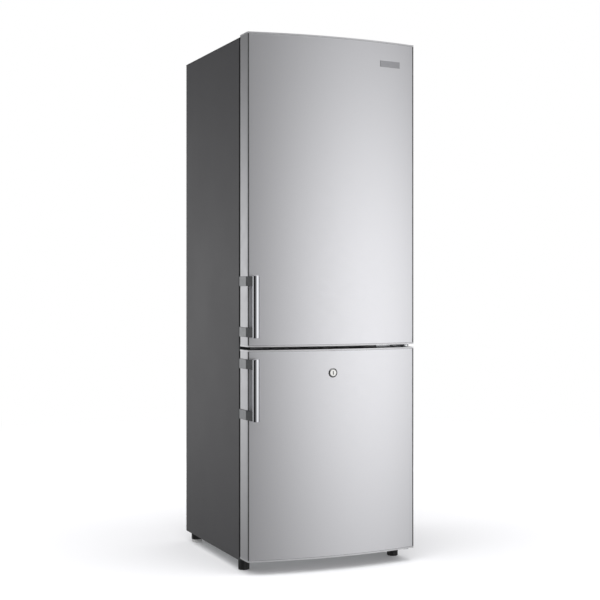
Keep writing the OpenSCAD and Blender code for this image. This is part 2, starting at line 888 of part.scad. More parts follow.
// Condenser: a flat serpentine, a shade thicker in its bends, with upright wires on both sides of it
module condenser() {
    color("#1f1f20")
        in_place() {
            for (i = [0 : condenser_runs - 1])
                rod_x(-run_half, run_half, condenser_y, condenser_z0 + i * run_step, tube_r);
            for (i = [0 : condenser_runs - 2])
                translate([(i % 2 == 0 ? 1 : -1) * run_half, condenser_y, condenser_z0 + (i + 0.5) * run_step])
                    rotate([90, i % 2 == 0 ? 90 : -90, 0])
                        rotate_extrude(angle = 180, $fn = 48)
                            translate([bend_r, 0])
                                circle(r = tube_r + bend_extra, $fn = 24);
            for (i = [0 : wire_count - 1])
                post(-wire_half + i * 2 * wire_half / (wire_count - 1),
                     condenser_y + (i % 2 == 0 ? 1 : -1) * wire_off,
                     condenser_z0 - 15, condenser_z1 + 15, wire_r);
        }
}

// Plastic clips that hold the condenser off the back sheet
module condenser_brackets() {
    jaw_y = condenser_y - tube_r - 2;
    jaw_half = tube_r + 2.6;
    color("#2a2a2b")
        in_place()
            for (side = [-1, 1])
                for (i = [2, condenser_runs - 3]) {
                    z = condenser_z0 + i * run_step;
                    difference() {
                        slab(side * clip_x - clip_w / 2, side * clip_x + clip_w / 2, back_y, condenser_y,
                             z - clip_w / 2, z + clip_w / 2);
                        rod_x(-half_w, half_w, condenser_y, z, tube_r + 0.2);
                        slab(-half_w, half_w, jaw_y, condenser_y + 1, z + jaw_half, z + clip_w);
                        slab(-half_w, half_w, jaw_y, condenser_y + 1, z - clip_w, z - jaw_half);
                    }
                }
}

// Tray on the compressor, which dries the water that the drain tube brings
module drip_tray() {
    half_x = 66;
    half_y = 60;
    color("#3a3b3d")
        in_place()
            union() {
                difference() {
                    slab(compressor_x - half_x, compressor_x + half_x,
                         compressor_y - half_y, compressor_y + half_y, tray_z, tray_z + tray_h);
                    slab(compressor_x - half_x + tray_wall, compressor_x + half_x - tray_wall,
                         compressor_y - half_y + tray_wall, compressor_y + half_y - tray_wall,
                         tray_z + tray_wall, tray_z + tray_h + 1);
                }
                for (dx = [-30, 30])
                    for (dy = [-24, 24])
                        post(compressor_x + dx, compressor_y + dy, compressor_z0 + compressor_h, tray_z + 1, 5);
            }
}

module drain_tube() {
    color("#dcdcdc")
        in_place()
            difference() {
                post(drain_x, drain_y, machine_z1 - 12, fridge_z0 - liner_t, drain_r);
                post(drain_x, drain_y, machine_z1 - 13, fridge_z0, drain_r - 2);
            }
}

// Gland of the mains lead, on a bracket that stands on the base plate
module mains_inlet() {
    x = -half_w + 90;
    y = cabinet_depth - 24;
    z = base_top + 40;
    color("#26262a")
        in_place()
            difference() {
                union() {
                    slab(x - 22, x + 22, y - 2, y, base_top, z + 22);
                    slab(x - 22, x + 22, y - 22, y, base_top, base_top + 2);
                    slab(x - 18, x + 18, y - 30, y - 2, z - 16, z + 16);
                    bolt_y(x, y - 1, y + 14, z, 9);
                    bolt_y(x, y - 1, y + 4, z, 12);
                }
                bolt_y(x, y - 12, y + 15, z, 4);
            }
}

// Sheet behind the fridge's back wall
module evaporator_sheet() {
    slab(-evaporator_half, evaporator_half, fridge_y1 + liner_t, fridge_y1 + liner_t + plate_t,
         evaporator_z0, evaporator_z1);
}

// Plates through which the refrigerant runs: one behind the fridge's back wall, two under freezer drawers
module evaporators() {
    half = freezer_half - 2;
    color("#c8ccd0")
        in_place() {
            evaporator_sheet();
            for (i = [0, 1])
                union() {
                    z = plate_z + i * bay_h;
                    slab(-half, half, drawer_front + 12, freezer_y1 - 4, z, z + plate_t);
                    for (k = [0 : 6])
                        rod_x(-half + 12, half - 12, drawer_front + 40 + k * (step_y - drawer_front - 60) / 6,
                              z - plate_r + 1, plate_r);
                }
        }
}

// FRIDGE INSIDE

module glass_shelves() {
    color("#cfe6e4")
        in_place()
            for (i = [0 : shelf_count])
                slab(-fridge_half + 1, fridge_half - 1, shelf_front, shelf_y1 - 2,
                     cover_z + i * shelf_step, cover_z + i * shelf_step + glass_t);
}

// Trim along the front and the rear edge of each glass shelf
module shelf_trims() {
    lip = 3;
    color("#f4f4f4")
        in_place()
            for (i = [0 : shelf_count])
                for (y = [shelf_front, shelf_y1 - 2])
                    difference() {
                        slab(-fridge_half + ledge_w + 1, fridge_half - ledge_w - 1, y - 8, y + 8,
                             cover_z + i * shelf_step - lip, cover_z + i * shelf_step + glass_t + lip);
                        slab(-fridge_half + 1, fridge_half - 1, shelf_front, shelf_y1 - 2,
                             cover_z + i * shelf_step, cover_z + i * shelf_step + glass_t);
                    }
}

// Housing of the thermostat and the lamp, with a nose that guides the light switch
module control_housing() {
    z0 = fridge_z1 - box_h;
    color("#ececec")
        in_place()
            difference() {
                union() {
                    slab(-box_half, box_half, box_y0, box_y1, z0, fridge_z1);
                    slab(switch_x - nose_half, switch_x + nose_half, nose_y0, box_y0 + 1,
                         fridge_z1 - nose_h, fridge_z1);
                }
                slab(-box_half + box_wall, box_half - box_wall, box_y0 + box_wall + 2, box_y1 - box_wall,
                     z0 + box_wall, fridge_z1 + 1);
                slab(-56, 56, box_y0 + 76, box_y1 - 12, z0 - 1, z0 + box_wall + 1);
                bolt_y(0, box_y0 - 1, box_y0 + 5, knob_z, knob_shaft_r + switch_clear);
                bolt_y(switch_x, nose_y0 - 1, ridge_y + switch_len + 4, switch_z, switch_r + switch_clear);
            }
}

module thermostat_knob() {
    knob_y1 = box_y0 - 0.5;
    color("#fafafa")
        in_place()
            difference() {
                union() {
                    bolt_y(0, knob_y1 - knob_h + 5, knob_y1, knob_z, knob_r);
                    slab(-4, 4, knob_y1 - knob_h, knob_y1 - knob_h + 6,
                         knob_z - knob_r + 2, knob_z + knob_r - 2);
                    bolt_y(0, knob_y1 - 1, box_y0 + 12, knob_z, knob_shaft_r);
                }
                slab(-1, 1, knob_y1 - knob_h - 1, knob_y1 - knob_h + 0.6, knob_z + 4, knob_z + knob_r);
            }
}

module lamp() {
    y = box_y0 + 96;
    color("#fff6da")
        in_place()
            union() {
                translate([0, y + 12, knob_z])
                    sphere(r = 11, $fn = 48);
                bolt_y(0, y + 18, y + 46, knob_z, 8);
                slab(-16, 16, y + 44, box_y1 - box_wall, knob_z - 14, knob_z + 14);
            }
}

// Translucent cover let into the housing's underside
module lamp_cover() {
    z0 = fridge_z1 - box_h;
    color("#f7f7f2")
        in_place()
            difference() {
                slab(-55.7, 55.7, box_y0 + 76.3, box_y1 - 12.3, z0 - 8, z0 + box_wall);
                slab(-53.7, 53.7, box_y0 + 78.3, box_y1 - 14.3, z0 - 6, z0 + box_wall + 1);
            }
}

// Plunger that the fridge door holds in
module light_switch() {
    color("#fafafa")
        in_place()
            bolt_y(switch_x, ridge_y + bin_air, ridge_y + switch_len, switch_z, switch_r);
}

// Open-top bin with a gripping lip along the top of its front
module bin(x0, x1, y0, y1, z0, z1) {
    difference() {
        union() {
            slab(x0, x1, y0, y1, z0, z1);
            slab(x0 + 20, x1 - 20, y0 - grip_d / 2, y0 + 1, z1 - grip_h, z1);
        }
        slab(x0 + bin_wall, x1 - bin_wall, y0 + bin_wall, y1 - bin_wall, z0 + bin_wall, z1 + 1);
        slab(x0 + 23, x1 - 23, y0 - grip_d / 2 + bin_wall, y0 + 0.001, z1 - grip_h - 1, z1 - bin_wall);
    }
}

module crisper(side) {
    gap = 2;
    x0 = side < 0 ? -bin_half : gap;
    x1 = side < 0 ? -gap : bin_half;
    color("#dfeaea")
        in_place()
            bin(x0, x1, crisper_front + grip_d / 2, shelf_y1 - 20,
                fridge_z0 + bin_air, fridge_z0 + bin_air + crisper_h);
}

module crisper_left() {
    crisper(-1);
}

module crisper_right() {
    crisper(1);
}

// FREEZER INSIDE

module freezer_drawer(y1, z0, z1) {
    color("#e4eef0")
        in_place()
            bin(-bin_half, bin_half, drawer_front + grip_d / 2, y1, z0, z1);
}

module drawer_bottom() {
    freezer_drawer(step_y - 8, freezer_z0 + bin_air, plate_z - 2 * plate_r - drawer_head);
}

module drawer_middle() {
    freezer_drawer(freezer_y1 - 10, plate_z + plate_t + bin_air, plate_z + bay_h - 2 * plate_r - drawer_head);
}

module drawer_top() {
    freezer_drawer(freezer_y1 - 10, plate_z + bay_h + plate_t + bin_air, freezer_z1 - 2 * drawer_head);
}

// DOORS

// Everything behind the bowed front, between two heights and from the given depth forward
module bowed_block(half, y1, z0, z1, inset) {
    intersection() {
        translate([0, bow_y, z0])
            cylinder(h = z1 - z0, r = bow_r - inset, $fn = bow_steps);
        slab(-half, half, apex_y - 1, y1, z0, z1);
    }
}

module door_skin(z0, z1) {
    difference() {
        bowed_block(skin_half, seam_y, z0 + cap_t, z1 - cap_t, 0);
        bowed_block(skin_half - skin_t, seam_y + 1, z0, z1, skin_t);
    }
}

// Side trim: a folded strip that covers the side and forms the floor of the seam
module side_trim(side, z0, z1) {
    tongue = 12;
    lip_in = trim_turn + trim_t;
    outline = concat(
        [[0, door_back_y]], trim_points(0),
        [[lip_in, trim_front_y], [lip_in, seam_y], [tongue, seam_y], [tongue, seam_y + trim_t],
         [lip_in - 0.2, seam_y + trim_t], [trim_t, trim_front_y + trim_curve],
         [trim_t, door_back_y - trim_t], [tongue, door_back_y - trim_t], [tongue, door_back_y]]
    );
    mirror([side < 0 ? 0 : 1, 0, 0])
        translate([-half_w, 0, z0 + cap_t])
            linear_extrude(height = z1 - z0 - 2 * cap_t)
                polygon(outline);
}

module door_trims(z0, z1) {
    for (side = [-1, 1])
        side_trim(side, z0, z1);
}

// Plan of an end cap: straight sides that follow the trims, rounded rear corners
module cap_block(z0, z1) {
    corner = [
        for (a = [0 : 15 : 90])
            [cap_corner - cap_corner * sin(a), cap_back_y - cap_corner + cap_corner * cos(a)]
    ];
    front = [[trim_turn + 1, corner_y - 0.6], [skin_inset + 2, corner_y - 6], [skin_inset + 40, apex_y - 1]];
    half = concat(corner, trim_points(0), front);
    left = [for (p = half) [p[0] - half_w, p[1]]];
    right = [for (i = [len(half) - 1 : -1 : 0]) [half_w - half[i][0], half[i][1]]];
    intersection() {
        translate([0, bow_y, z0])
            cylinder(h = z1 - z0, r = bow_r, $fn = bow_steps);
        translate([0, 0, z0])
            linear_extrude(height = z1 - z0)
                polygon(concat(left, right));
    }
}

// End caps, each with a bush for a hinge pin
module door_caps(z0, z1) {
    difference() {
        union() {
            cap_block(z0, z0 + cap_t);
            post(hinge_x, hinge_y, z0 + 1, z0 + pin_len + 4, bush_r);
        }
        post(hinge_x, hinge_y, z0 - 1, z0 + pin_len + 1, bore_r);
    }
    difference() {
        union() {
            cap_block(z1 - cap_t, z1);
            post(hinge_x, hinge_y, z1 - pin_len - 4, z1 - 1, bush_r);
        }
        post(hinge_x, hinge_y, z1 - pin_len - 1, z1 + 1, bore_r);
    }
}

// Foam between skin, trims, caps and liner
module door_core(z0, z1) {
    side = half_w - trim_t - trim_turn - 0.3;
    difference() {
        union() {
            bowed_block(skin_half - skin_t, seam_y + trim_t, z0 + cap_t, z1 - cap_t, skin_t);
            slab(-side, side, seam_y + trim_t, door_back_y - trim_t, z0 + cap_t, z1 - cap_t);
            slab(-half_w + 12, half_w - 12, seam_y + trim_t, door_back_y, z0 + cap_t, z1 - cap_t);
        }
        for (s = [-1, 1])
            slab(s < 0 ? -half_w : half_w - 12.1, s < 0 ? -half_w + 12.1 : half_w, corner_y, seam_y + trim_t,
                 z0, z1);
        for (z = [z0, z1 - pin_len - 4.2])
            post(hinge_x, hinge_y, z, z + pin_len + 4.2, bush_r + 0.1);
    }
}

// Moulded sheet behind the door
module liner_sheet(z0, z1) {
    slab(-half_w + 3, half_w - 3, door_back_y, liner_back_y, z0 + cap_t, z1 - cap_t);
}

// Bellows seal: a root in the door, a bellows and a broad magnet lip
module door_seal(z0, z1) {
    half = half_w - seal_inset;
    a = z0 + seal_inset;
    b = z1 - seal_inset;
    root = 5;
    difference() {
        slab(-half, half, liner_back_y, -seal_air, a, b);
        slab(-half + seal_w, half - seal_w, liner_back_y - 1, 1, a + seal_w, b - seal_w);
        // Grooves along the inner and the outer side, which leave the bellows between root and lip
        difference() {
            slab(-half - 1, half + 1, liner_back_y + seal_root_t, -seal_air - seal_lip_t, a - 1, b + 1);
            slab(-half + root, half - root, liner_back_y, 1, a + root, b - root);
        }
        slab(-half + seal_w - root, half - seal_w + root, liner_back_y + seal_root_t, -seal_air - seal_lip_t,
             a + seal_w - root, b - seal_w + root);
    }
}

// Handle bar: flat back and sides, and a front that bows out between them
module handle_bar(z0) {
    front = bar_y - bar_d / 2;
    rise = bar_d - bar_side;
    r = (bar_w * bar_w / 4 + rise * rise) / (2 * rise);
    color("#d6d8da")
        in_place()
            intersection() {
                slab(bar_x - bar_w / 2, bar_x + bar_w / 2, front - 1, front + bar_d, z0, z0 + bar_len);
                post(bar_x, front + r, z0 - 1, z0 + bar_len + 1, r);
            }
}

// Bracket: a plate on the side of the door that turns in and runs forward to the bar
module handle_brackets(z0) {
    arm_t = 5;
    bend_y = corner_y + 7;
    bar_back = bar_y + bar_d / 2;
    left = bar_x - bar_w / 2;
    outline = [
        [-half_w, door_back_y], [-half_w - bracket_proud, door_back_y], [-half_w - bracket_proud, bend_y],
        [left - 0.5, bar_back], [left + bar_w - 6, bar_back], [left + bar_w - 6, bar_back + 5],
        [left + arm_t, bar_back + 5], [-half_w + 1.5, corner_y - 1], [-half_w, corner_y - 1]
    ];
    color("#8a8c8f")
        in_place()
            for (z = [z0 + bracket_inset, z0 + bar_len - bracket_inset - bracket_h])
                translate([0, 0, z])
                    linear_extrude(height = bracket_h)
                        polygon(outline);
}

// FRIDGE DOOR

module upper_door_skin() {
    color("#a9aaac")
        in_place()
            door_skin(upper_z0, upper_z1);
}

module upper_door_trims() {
    color("#b4b5b7")
        in_place()
            door_trims(upper_z0, upper_z1);
}

module upper_door_caps() {
    color("#909193")
        in_place()
            door_caps(upper_z0, upper_z1);
}

module upper_door_core() {
    color("#e8d9a0")
        in_place()
            union() {
                door_core(upper_z0, upper_z1);
                ridge_ring(liner_t, door_back_y - 1, ridge_y - liner_t);
            }
}

// Ring of ridges on the fridge door's liner, thinned by the liner for the foam inside it
module ridge_ring(inset, y0, y1) {
    difference() {
        slab(-ridge_half + inset, ridge_half - inset, y0, y1, ridge_z0 + inset, ridge_z1 - inset);
        slab(-ridge_half + ridge_w - inset, ridge_half - ridge_w + inset, y0 - 1, y1 + 1,
             ridge_z0 + ridge_w - inset, ridge_z1 - ridge_w + inset);
    }
}

module upper_door_liner() {
    color("#f1f2f2")
        in_place()
            difference() {
                union() {
                    liner_sheet(upper_z0, upper_z1);
                    ridge_ring(0, door_back_y, ridge_y);
                    // Bosses on the ridges' inner sides, which carry the door shelves
                    for (s = [-1, 1])
                        for (z = shelf_heights)
                            slab(s < 0 ? -shelf_half - 2 : shelf_half - 6, s < 0 ? -shelf_half + 6 : shelf_half + 2,
                                 liner_back_y - 0.5, ridge_y - 4, z - 16, z);
                }
                ridge_ring(liner_t, door_back_y - 1, ridge_y - liner_t);
            }
}

module upper_door_seal() {
    color("#d9dadb")
        in_place()
            door_seal(upper_z0, upper_z1);
}

module upper_handle_bar() {
    handle_bar(upper_bar_z);
}

module upper_handle_brackets() {
    handle_brackets(upper_bar_z);
}

// Trough between the ridges, with a higher front
module door_shelf(z, h, rail) {
    difference() {
        slab(-shelf_half, shelf_half, liner_back_y + bin_air, balcony_in, z, z + h);
        slab(-shelf_half + balcony_wall, shelf_half - balcony_wall, liner_back_y + bin_air + balcony_wall,
             balcony_in - balcony_wall, z + balcony_wall, z + h + 1);
        slab(-shelf_half - 1, shelf_half + 1, ridge_y + 10, balcony_in - balcony_wall, z + rail, z + h + 1);
    }
}

module door_shelves() {
    color("#e2edee")
        in_place() {
            door_shelf(bottle_z, bottle_h, bottle_h * 0.7);
            // The top shelf has full ends, because the flap closes it
            for (z = small_shelf_heights)
                door_shelf(z, balcony_h, z > balcony_top - 1 ? balcony_h : balcony_h * 0.7);
        }
}

// Flap over the top door shelf, which turns up about its rear edge
module dairy_flap() {
    color("#e6f0f0")
        in_place()
            union() {
                slab(-shelf_half + 1, shelf_half - 1, flap_y, balcony_in, flap_z, flap_z + flap_t);
                slab(-shelf_half + 1, shelf_half - 1, balcony_in - flap_t, balcony_in,
                     flap_z + 0.5, flap_z + 10);
                rod_x(-shelf_half - 1, shelf_half + 1, flap_y, flap_z + flap_pin_r, flap_pin_r);
            }
}

// FREEZER DOOR

module lock_bore(r) {
    bolt_y(-lock_left, apex_y - 10, 20, lock_z, r);
}

module lower_door_skin() {
    color("#a9aaac")
        in_place()
            difference() {
                door_skin(lower_z0, lower_z1);
                lock_bore(case_r);
            }
}

module lower_door_trims() {
    color("#b4b5b7")
        in_place()
            door_trims(lower_z0, lower_z1);
}

module lower_door_caps() {
    color("#909193")
        in_place()
            door_caps(lower_z0, lower_z1);
}

module lower_door_core() {
    color("#e8d9a0")
        in_place()
            difference() {
                union() {
                    door_core(lower_z0, lower_z1);
                    slab(-field_half + liner_t, field_half - liner_t, door_back_y - 1, field_y - liner_t,
                         field_z0 + liner_t, field_z1 - liner_t);
                }
                lock_bore(case_r);
            }
}

module lower_door_liner() {
    color("#f1f2f2")
        in_place()
            difference() {
                union() {
                    liner_sheet(lower_z0, lower_z1);
                    slab(-field_half, field_half, door_back_y, field_y, field_z0, field_z1);
                }
                slab(-field_half + liner_t, field_half - liner_t, door_back_y - 1, field_y - liner_t,
                     field_z0 + liner_t, field_z1 - liner_t);
                lock_bore(case_r);
            }
}

module lower_door_seal() {
    color("#d9dadb")
        in_place()
            door_seal(lower_z0, lower_z1);
}

module lower_handle_bar() {
    handle_bar(lower_bar_z);
}

module lower_handle_brackets() {
    handle_brackets(lower_bar_z);
}

// Lock case: a tube through the door with a bezel on the front skin
module lock_case() {
    color("#b9bbbe")
        in_place()
            difference() {
                union() {
                    bolt_y(-lock_left, bezel_y, cam_y - 2, lock_z, case_r);
                    bolt_y(-lock_left, bezel_y - bezel_t, bezel_y, lock_z, lock_bezel_r);
                }
                lock_bore(lock_plug_r + plug_clear);
            }
}

module lock_plug() {
    key_w = 3;
    key_h = 12;
    key_d = 14;
    color("#e3e5e7")
        in_place()
            difference() {
                bolt_y(-lock_left, bezel_y - bezel_t - 0.6, cam_y, lock_z, lock_plug_r);
                slab(-lock_left - key_w / 2, -lock_left + key_w / 2,
                     bezel_y - bezel_t - 1, bezel_y - bezel_t + key_d, lock_z - key_h / 2, lock_z + key_h / 2);
            }
}

// Tongue on the plug's end, with its screw
module lock_cam() {
    color("#a9abad")
        in_place()
            union() {
                slab(-lock_left - cam_len, -lock_left + cam_w / 2, cam_y, cam_y + cam_t,
                     lock_z - cam_w / 2, lock_z + cam_w / 2);
                bolt_y(-lock_left, cam_y, cam_y + cam_t + 2, lock_z, 4);
            }
}

left_side_panel();
right_side_panel();
top_lid();
back_sheet();
base_plate();
cabinet_foam();
fridge_liner();
freezer_liner();
cross_rails();
top_hinge();
middle_hinge();
bottom_hinge();
hinge_screws();
top_hinge_cover();
rear_feet();
front_left_foot();
front_right_foot();
compressor();
compressor_mounts();
start_relay_box();
refrigerant_pipes();
condenser();
condenser_brackets();
drip_tray();
drain_tube();
mains_inlet();
evaporators();
glass_shelves();
shelf_trims();
control_housing();
thermostat_knob();
lamp();
lamp_cover();
light_switch();
crisper_left();
crisper_right();
drawer_bottom();
drawer_middle();
drawer_top();
upper_door_skin();
upper_door_trims();
upper_door_caps();
upper_door_core();
upper_door_liner();
upper_door_seal();
upper_handle_bar();
upper_handle_brackets();
door_shelves();
dairy_flap();
lower_door_skin();
lower_door_trims();
lower_door_caps();
lower_door_core();
lower_door_liner();
lower_door_seal();
lower_handle_bar();
lower_handle_brackets();
lock_case();
lock_plug();
lock_cam();
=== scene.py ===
"""Looks of a two-door fridge freezer with a bowed silver front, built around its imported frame."""

import json
import math

import bmesh
import bpy
import numpy as np
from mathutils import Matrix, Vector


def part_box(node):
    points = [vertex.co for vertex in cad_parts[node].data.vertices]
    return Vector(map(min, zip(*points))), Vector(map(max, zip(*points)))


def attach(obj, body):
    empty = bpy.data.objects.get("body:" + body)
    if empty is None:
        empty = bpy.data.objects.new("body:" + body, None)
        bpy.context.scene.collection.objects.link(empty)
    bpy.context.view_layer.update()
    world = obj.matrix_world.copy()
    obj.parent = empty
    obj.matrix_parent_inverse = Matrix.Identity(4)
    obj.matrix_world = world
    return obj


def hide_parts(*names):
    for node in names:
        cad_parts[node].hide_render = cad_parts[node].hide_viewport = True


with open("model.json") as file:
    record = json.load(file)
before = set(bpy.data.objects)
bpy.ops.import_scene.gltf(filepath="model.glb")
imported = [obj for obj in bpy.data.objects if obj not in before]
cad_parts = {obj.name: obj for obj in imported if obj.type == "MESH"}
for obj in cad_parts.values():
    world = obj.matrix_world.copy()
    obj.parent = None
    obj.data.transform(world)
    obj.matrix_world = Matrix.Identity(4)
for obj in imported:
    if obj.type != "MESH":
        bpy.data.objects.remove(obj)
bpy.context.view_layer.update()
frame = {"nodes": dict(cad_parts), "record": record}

# Camera: level, at the photograph's place, a little above half the fridge's height. The picture's
# middle lies below the horizon, so the lens is shifted down and upright lines stay upright.
CAMERA_PLACE = (-1.7241, -4.0396, 0.9236)
CAMERA_TURN = math.radians(-23.2215)
LENS_MM = 75.41
SENSOR_MM = 36.0
HORIZON_SHIFT = -0.02198
CLIP_END = 200

camera_data = bpy.data.cameras.new("camera")
camera_data.sensor_width = SENSOR_MM
camera_data.lens = LENS_MM
camera_data.shift_y = HORIZON_SHIFT
camera_data.clip_end = CLIP_END
camera = bpy.data.objects.new("camera", camera_data)
camera.location = CAMERA_PLACE
camera.rotation_euler = (math.pi / 2, 0, CAMERA_TURN)
bpy.context.scene.collection.objects.link(camera)
bpy.context.scene.camera = camera
bpy.context.scene.view_settings.view_transform = "Standard"


# Studio: a pale sweep of floor that fades into white, soft light from above, and a wide window of
# light at the front right, whose reflection gives the bowed doors their slow gradient.
def linear(hex_colour):
    """sRGB hex to linear: (c + 0.055) / 1.055 to the power 2.4, or c / 12.92 in the darks."""
    c = np.array([int(hex_colour[i:i + 2], 16) for i in (1, 3, 5)]) / 255
    c = np.where(c <= 0.04045, c / 12.92, ((c + 0.055) / 1.055) ** 2.4)
    return tuple(c) + (1.0,)


def add(tree, kind, links=None, **settings):
    """One shader node: settings are its own properties, links are values or sockets for its inputs."""
    made = tree.nodes.new(kind)
    for name, value in settings.items():
        setattr(made, name, value)
    for name, value in (links or {}).items():
        if isinstance(value, bpy.types.NodeSocket):
            tree.links.new(value, made.inputs[name])
        else:
            made.inputs[name].default_value = value
    return made


# Level of the light at the horizon, by azimuth in degrees from the front, positive to the right. A
# colour ramp holds at most 1, so it is filled with the levels over RAMP_TOP.
HORIZON = ((-180, 1.19), (-132, 1.19), (-116, 0.4), (-98, 0.12), (-84, 0.03), (-36, 0.03), (-21, 0.13),
           (-4, 0.5), (12, 1.17), (28, 1.64), (44, 1.82), (58, 1.12), (76, 0.3), (96, 0.12), (136, 0.3),
           (180, 1.19))
RAMP_TOP = 2.0
# The window's band: its middle below the horizon, its reach up and down at the front and at the rear,
# between which it passes over BAND_PASS, and the share of the level that is left beyond its reach
BAND_CENTRE, BAND_FRONT, BAND_REAR, BAND_REST = 0.022, 0.31, 0.225, 0.12
BAND_PASS = (-0.5, 0.3)
# Least light of the room and of the floor, as (level, sine of the height at which it starts and ends)
ROOM_GLOW, FLOOR_GLOW = (0.16, 0.09, 0.2), (0.5, 0.24, 0.5)
# Light from above: its level, the heights over which it comes up, the side from which it is
# strongest, the share left on the far side, and the turn over which it falls to that share
SKY_LEVEL, SKY_FROM, SKY_TO = 2.3, 0.42, 0.72
KEY_SIDE, KEY_REST, KEY_PASS = (-0.4, -0.92, 0.0), 0.3, (-0.45, 0.25)
world = bpy.data.worlds.new("studio")
bpy.context.scene.world = world
world.use_nodes = True
tree = world.node_tree
tree.nodes.clear()
direction = add(tree, "ShaderNodeTexCoord").outputs["Generated"]
parts = add(tree, "ShaderNodeSeparateXYZ", {0: direction})
front = add(tree, "ShaderNodeMath", {0: parts.outputs["Y"], 1: -1.0}, operation="MULTIPLY")
azimuth = add(tree, "ShaderNodeMath", {0: parts.outputs["X"], 1: front.outputs[0]}, operation="ARCTAN2")
turn = add(tree, "ShaderNodeMapRange", {"Value": azimuth.outputs[0], "From Min": -math.pi,
                                        "From Max": math.pi})
horizon = add(tree, "ShaderNodeValToRGB", {"Fac": turn.outputs[0]})
horizon.color_ramp.interpolation = "B_SPLINE"
stops = horizon.color_ramp.elements
for i, (degrees, strength) in enumerate(HORIZON):
    stop = stops[i] if i < 2 else stops.new(1.0)
    stop.position = degrees / 360 + 0.5
    stop.color = (strength / RAMP_TOP,) * 3 + (1.0,)
raised = add(tree, "ShaderNodeMath", {0: parts.outputs["Z"], 1: BAND_CENTRE}, operation="ADD")
height = add(tree, "ShaderNodeMath", {0: raised.outputs[0]}, operation="ABSOLUTE")
below = add(tree, "ShaderNodeMath", {0: parts.outputs["Z"], 1: -1.0}, operation="MULTIPLY")
reach = add(tree, "ShaderNodeMapRange", {"Value": front.outputs[0], "From Min": BAND_PASS[0],
                                         "From Max": BAND_PASS[1], "To Min": BAND_REAR, "To Max": BAND_FRONT})
band = add(tree, "ShaderNodeMapRange", {"Value": height.outputs[0], "From Min": 0.0,
                                        "From Max": reach.outputs[0], "To Min": RAMP_TOP,
                                        "To Max": RAMP_TOP * BAND_REST}, interpolation_type="SMOOTHSTEP")
level = add(tree, "ShaderNodeMath", {0: horizon.outputs[0], 1: band.outputs[0]}, operation="MULTIPLY")
for source, (strength, start, end) in ((height, ROOM_GLOW), (below, FLOOR_GLOW)):
    rest = add(tree, "ShaderNodeMapRange", {"Value": source.outputs[0], "From Min": start, "From Max": end,
                                            "To Max": strength}, interpolation_type="SMOOTHSTEP")
    level = add(tree, "ShaderNodeMath", {0: level.outputs[0], 1: rest.outputs[0]}, operation="MAXIMUM")
high = add(tree, "ShaderNodeMapRange", {"Value": parts.outputs["Z"], "From Min": SKY_FROM,
                                        "From Max": SKY_TO}, interpolation_type="SMOOTHSTEP")
toward = add(tree, "ShaderNodeVectorMath", {0: direction, 1: KEY_SIDE}, operation="DOT_PRODUCT")
ahead = add(tree, "ShaderNodeMapRange", {"Value": toward.outputs["Value"], "From Min": KEY_PASS[0],
                                         "From Max": KEY_PASS[1], "To Min": KEY_REST, "To Max": 1.0},
            interpolation_type="SMOOTHSTEP")
sky = add(tree, "ShaderNodeMath", {0: high.outputs[0], 1: ahead.outputs[0]}, operation="MULTIPLY")
level = add(tree, "ShaderNodeMath", {0: sky.outputs[0], 1: SKY_LEVEL, 2: level.outputs[0]},
            operation="MULTIPLY_ADD")
# Camera and glass see plain white behind the object, whatever the light is
light = add(tree, "ShaderNodeBackground", {"Color": linear("#ffffff"), "Strength": level.outputs[0]})
plain = add(tree, "ShaderNodeBackground", {"Color": linear("#ffffff"), "Strength": 1.0})
ray = add(tree, "ShaderNodeLightPath")
seen = add(tree, "ShaderNodeMath", {0: ray.outputs["Is Camera Ray"], 1: ray.outputs["Is Transmission Ray"]},
           operation="MAXIMUM")
shown = add(tree, "ShaderNodeMixShader", {0: seen.outputs[0], 1: light.outputs[0], 2: plain.outputs[0]})
add(tree, "ShaderNodeOutputWorld", {"Surface": shown.outputs[0]})

# Floor: its grey fades to white with the distance from the object, and the object's shadow is lifted a
# little by a faint glow. Glossy rays pass through it, to the world's own light below the horizon.
FLOOR_COLOUR, FLOOR_HALF = "#ebebed", 30.0
WHITE_FROM, WHITE_TO = 1.2, 4.5
SHADOW_LIFT = 0.1
floor_mesh = bpy.data.meshes.new("floor")
floor_mesh.from_pydata([(-FLOOR_HALF, -FLOOR_HALF, 0), (FLOOR_HALF, -FLOOR_HALF, 0),
                        (FLOOR_HALF, FLOOR_HALF, 0), (-FLOOR_HALF, FLOOR_HALF, 0)], [], [(0, 1, 2, 3)])
floor = bpy.data.objects.new("floor", floor_mesh)
bpy.context.scene.collection.objects.link(floor)
paint = bpy.data.materials.new("studio sweep")
paint.use_nodes = True
tree = paint.node_tree
tree.nodes.clear()
ray = add(tree, "ShaderNodeLightPath")
matt = add(tree, "ShaderNodeBsdfDiffuse", {"Color": linear(FLOOR_COLOUR)})
clear = add(tree, "ShaderNodeBsdfTransparent")
glow = add(tree, "ShaderNodeEmission", {"Color": linear("#ffffff"), "Strength": 1.0})
place = add(tree, "ShaderNodeTexCoord").outputs["Object"]
away = add(tree, "ShaderNodeVectorMath", {0: place}, operation="LENGTH")
fade = add(tree, "ShaderNodeMapRange", {"Value": away.outputs["Value"], "From Min": WHITE_FROM,
                                        "From Max": WHITE_TO}, interpolation_type="SMOOTHSTEP")
fade = add(tree, "ShaderNodeMath", {0: fade.outputs[0], 1: ray.outputs["Is Camera Ray"]},
           operation="MULTIPLY")
faint = add(tree, "ShaderNodeEmission", {"Color": linear("#ffffff"), "Strength": SHADOW_LIFT})
lifted = add(tree, "ShaderNodeAddShader", {0: matt.outputs[0], 1: faint.outputs[0]})
mixed = add(tree, "ShaderNodeMixShader", {0: fade.outputs[0], 1: lifted.outputs[0], 2: glow.outputs[0]})
mixed = add(tree, "ShaderNodeMixShader", {0: ray.outputs["Is Glossy Ray"], 1: mixed.outputs[0],
                                          2: clear.outputs[0]})
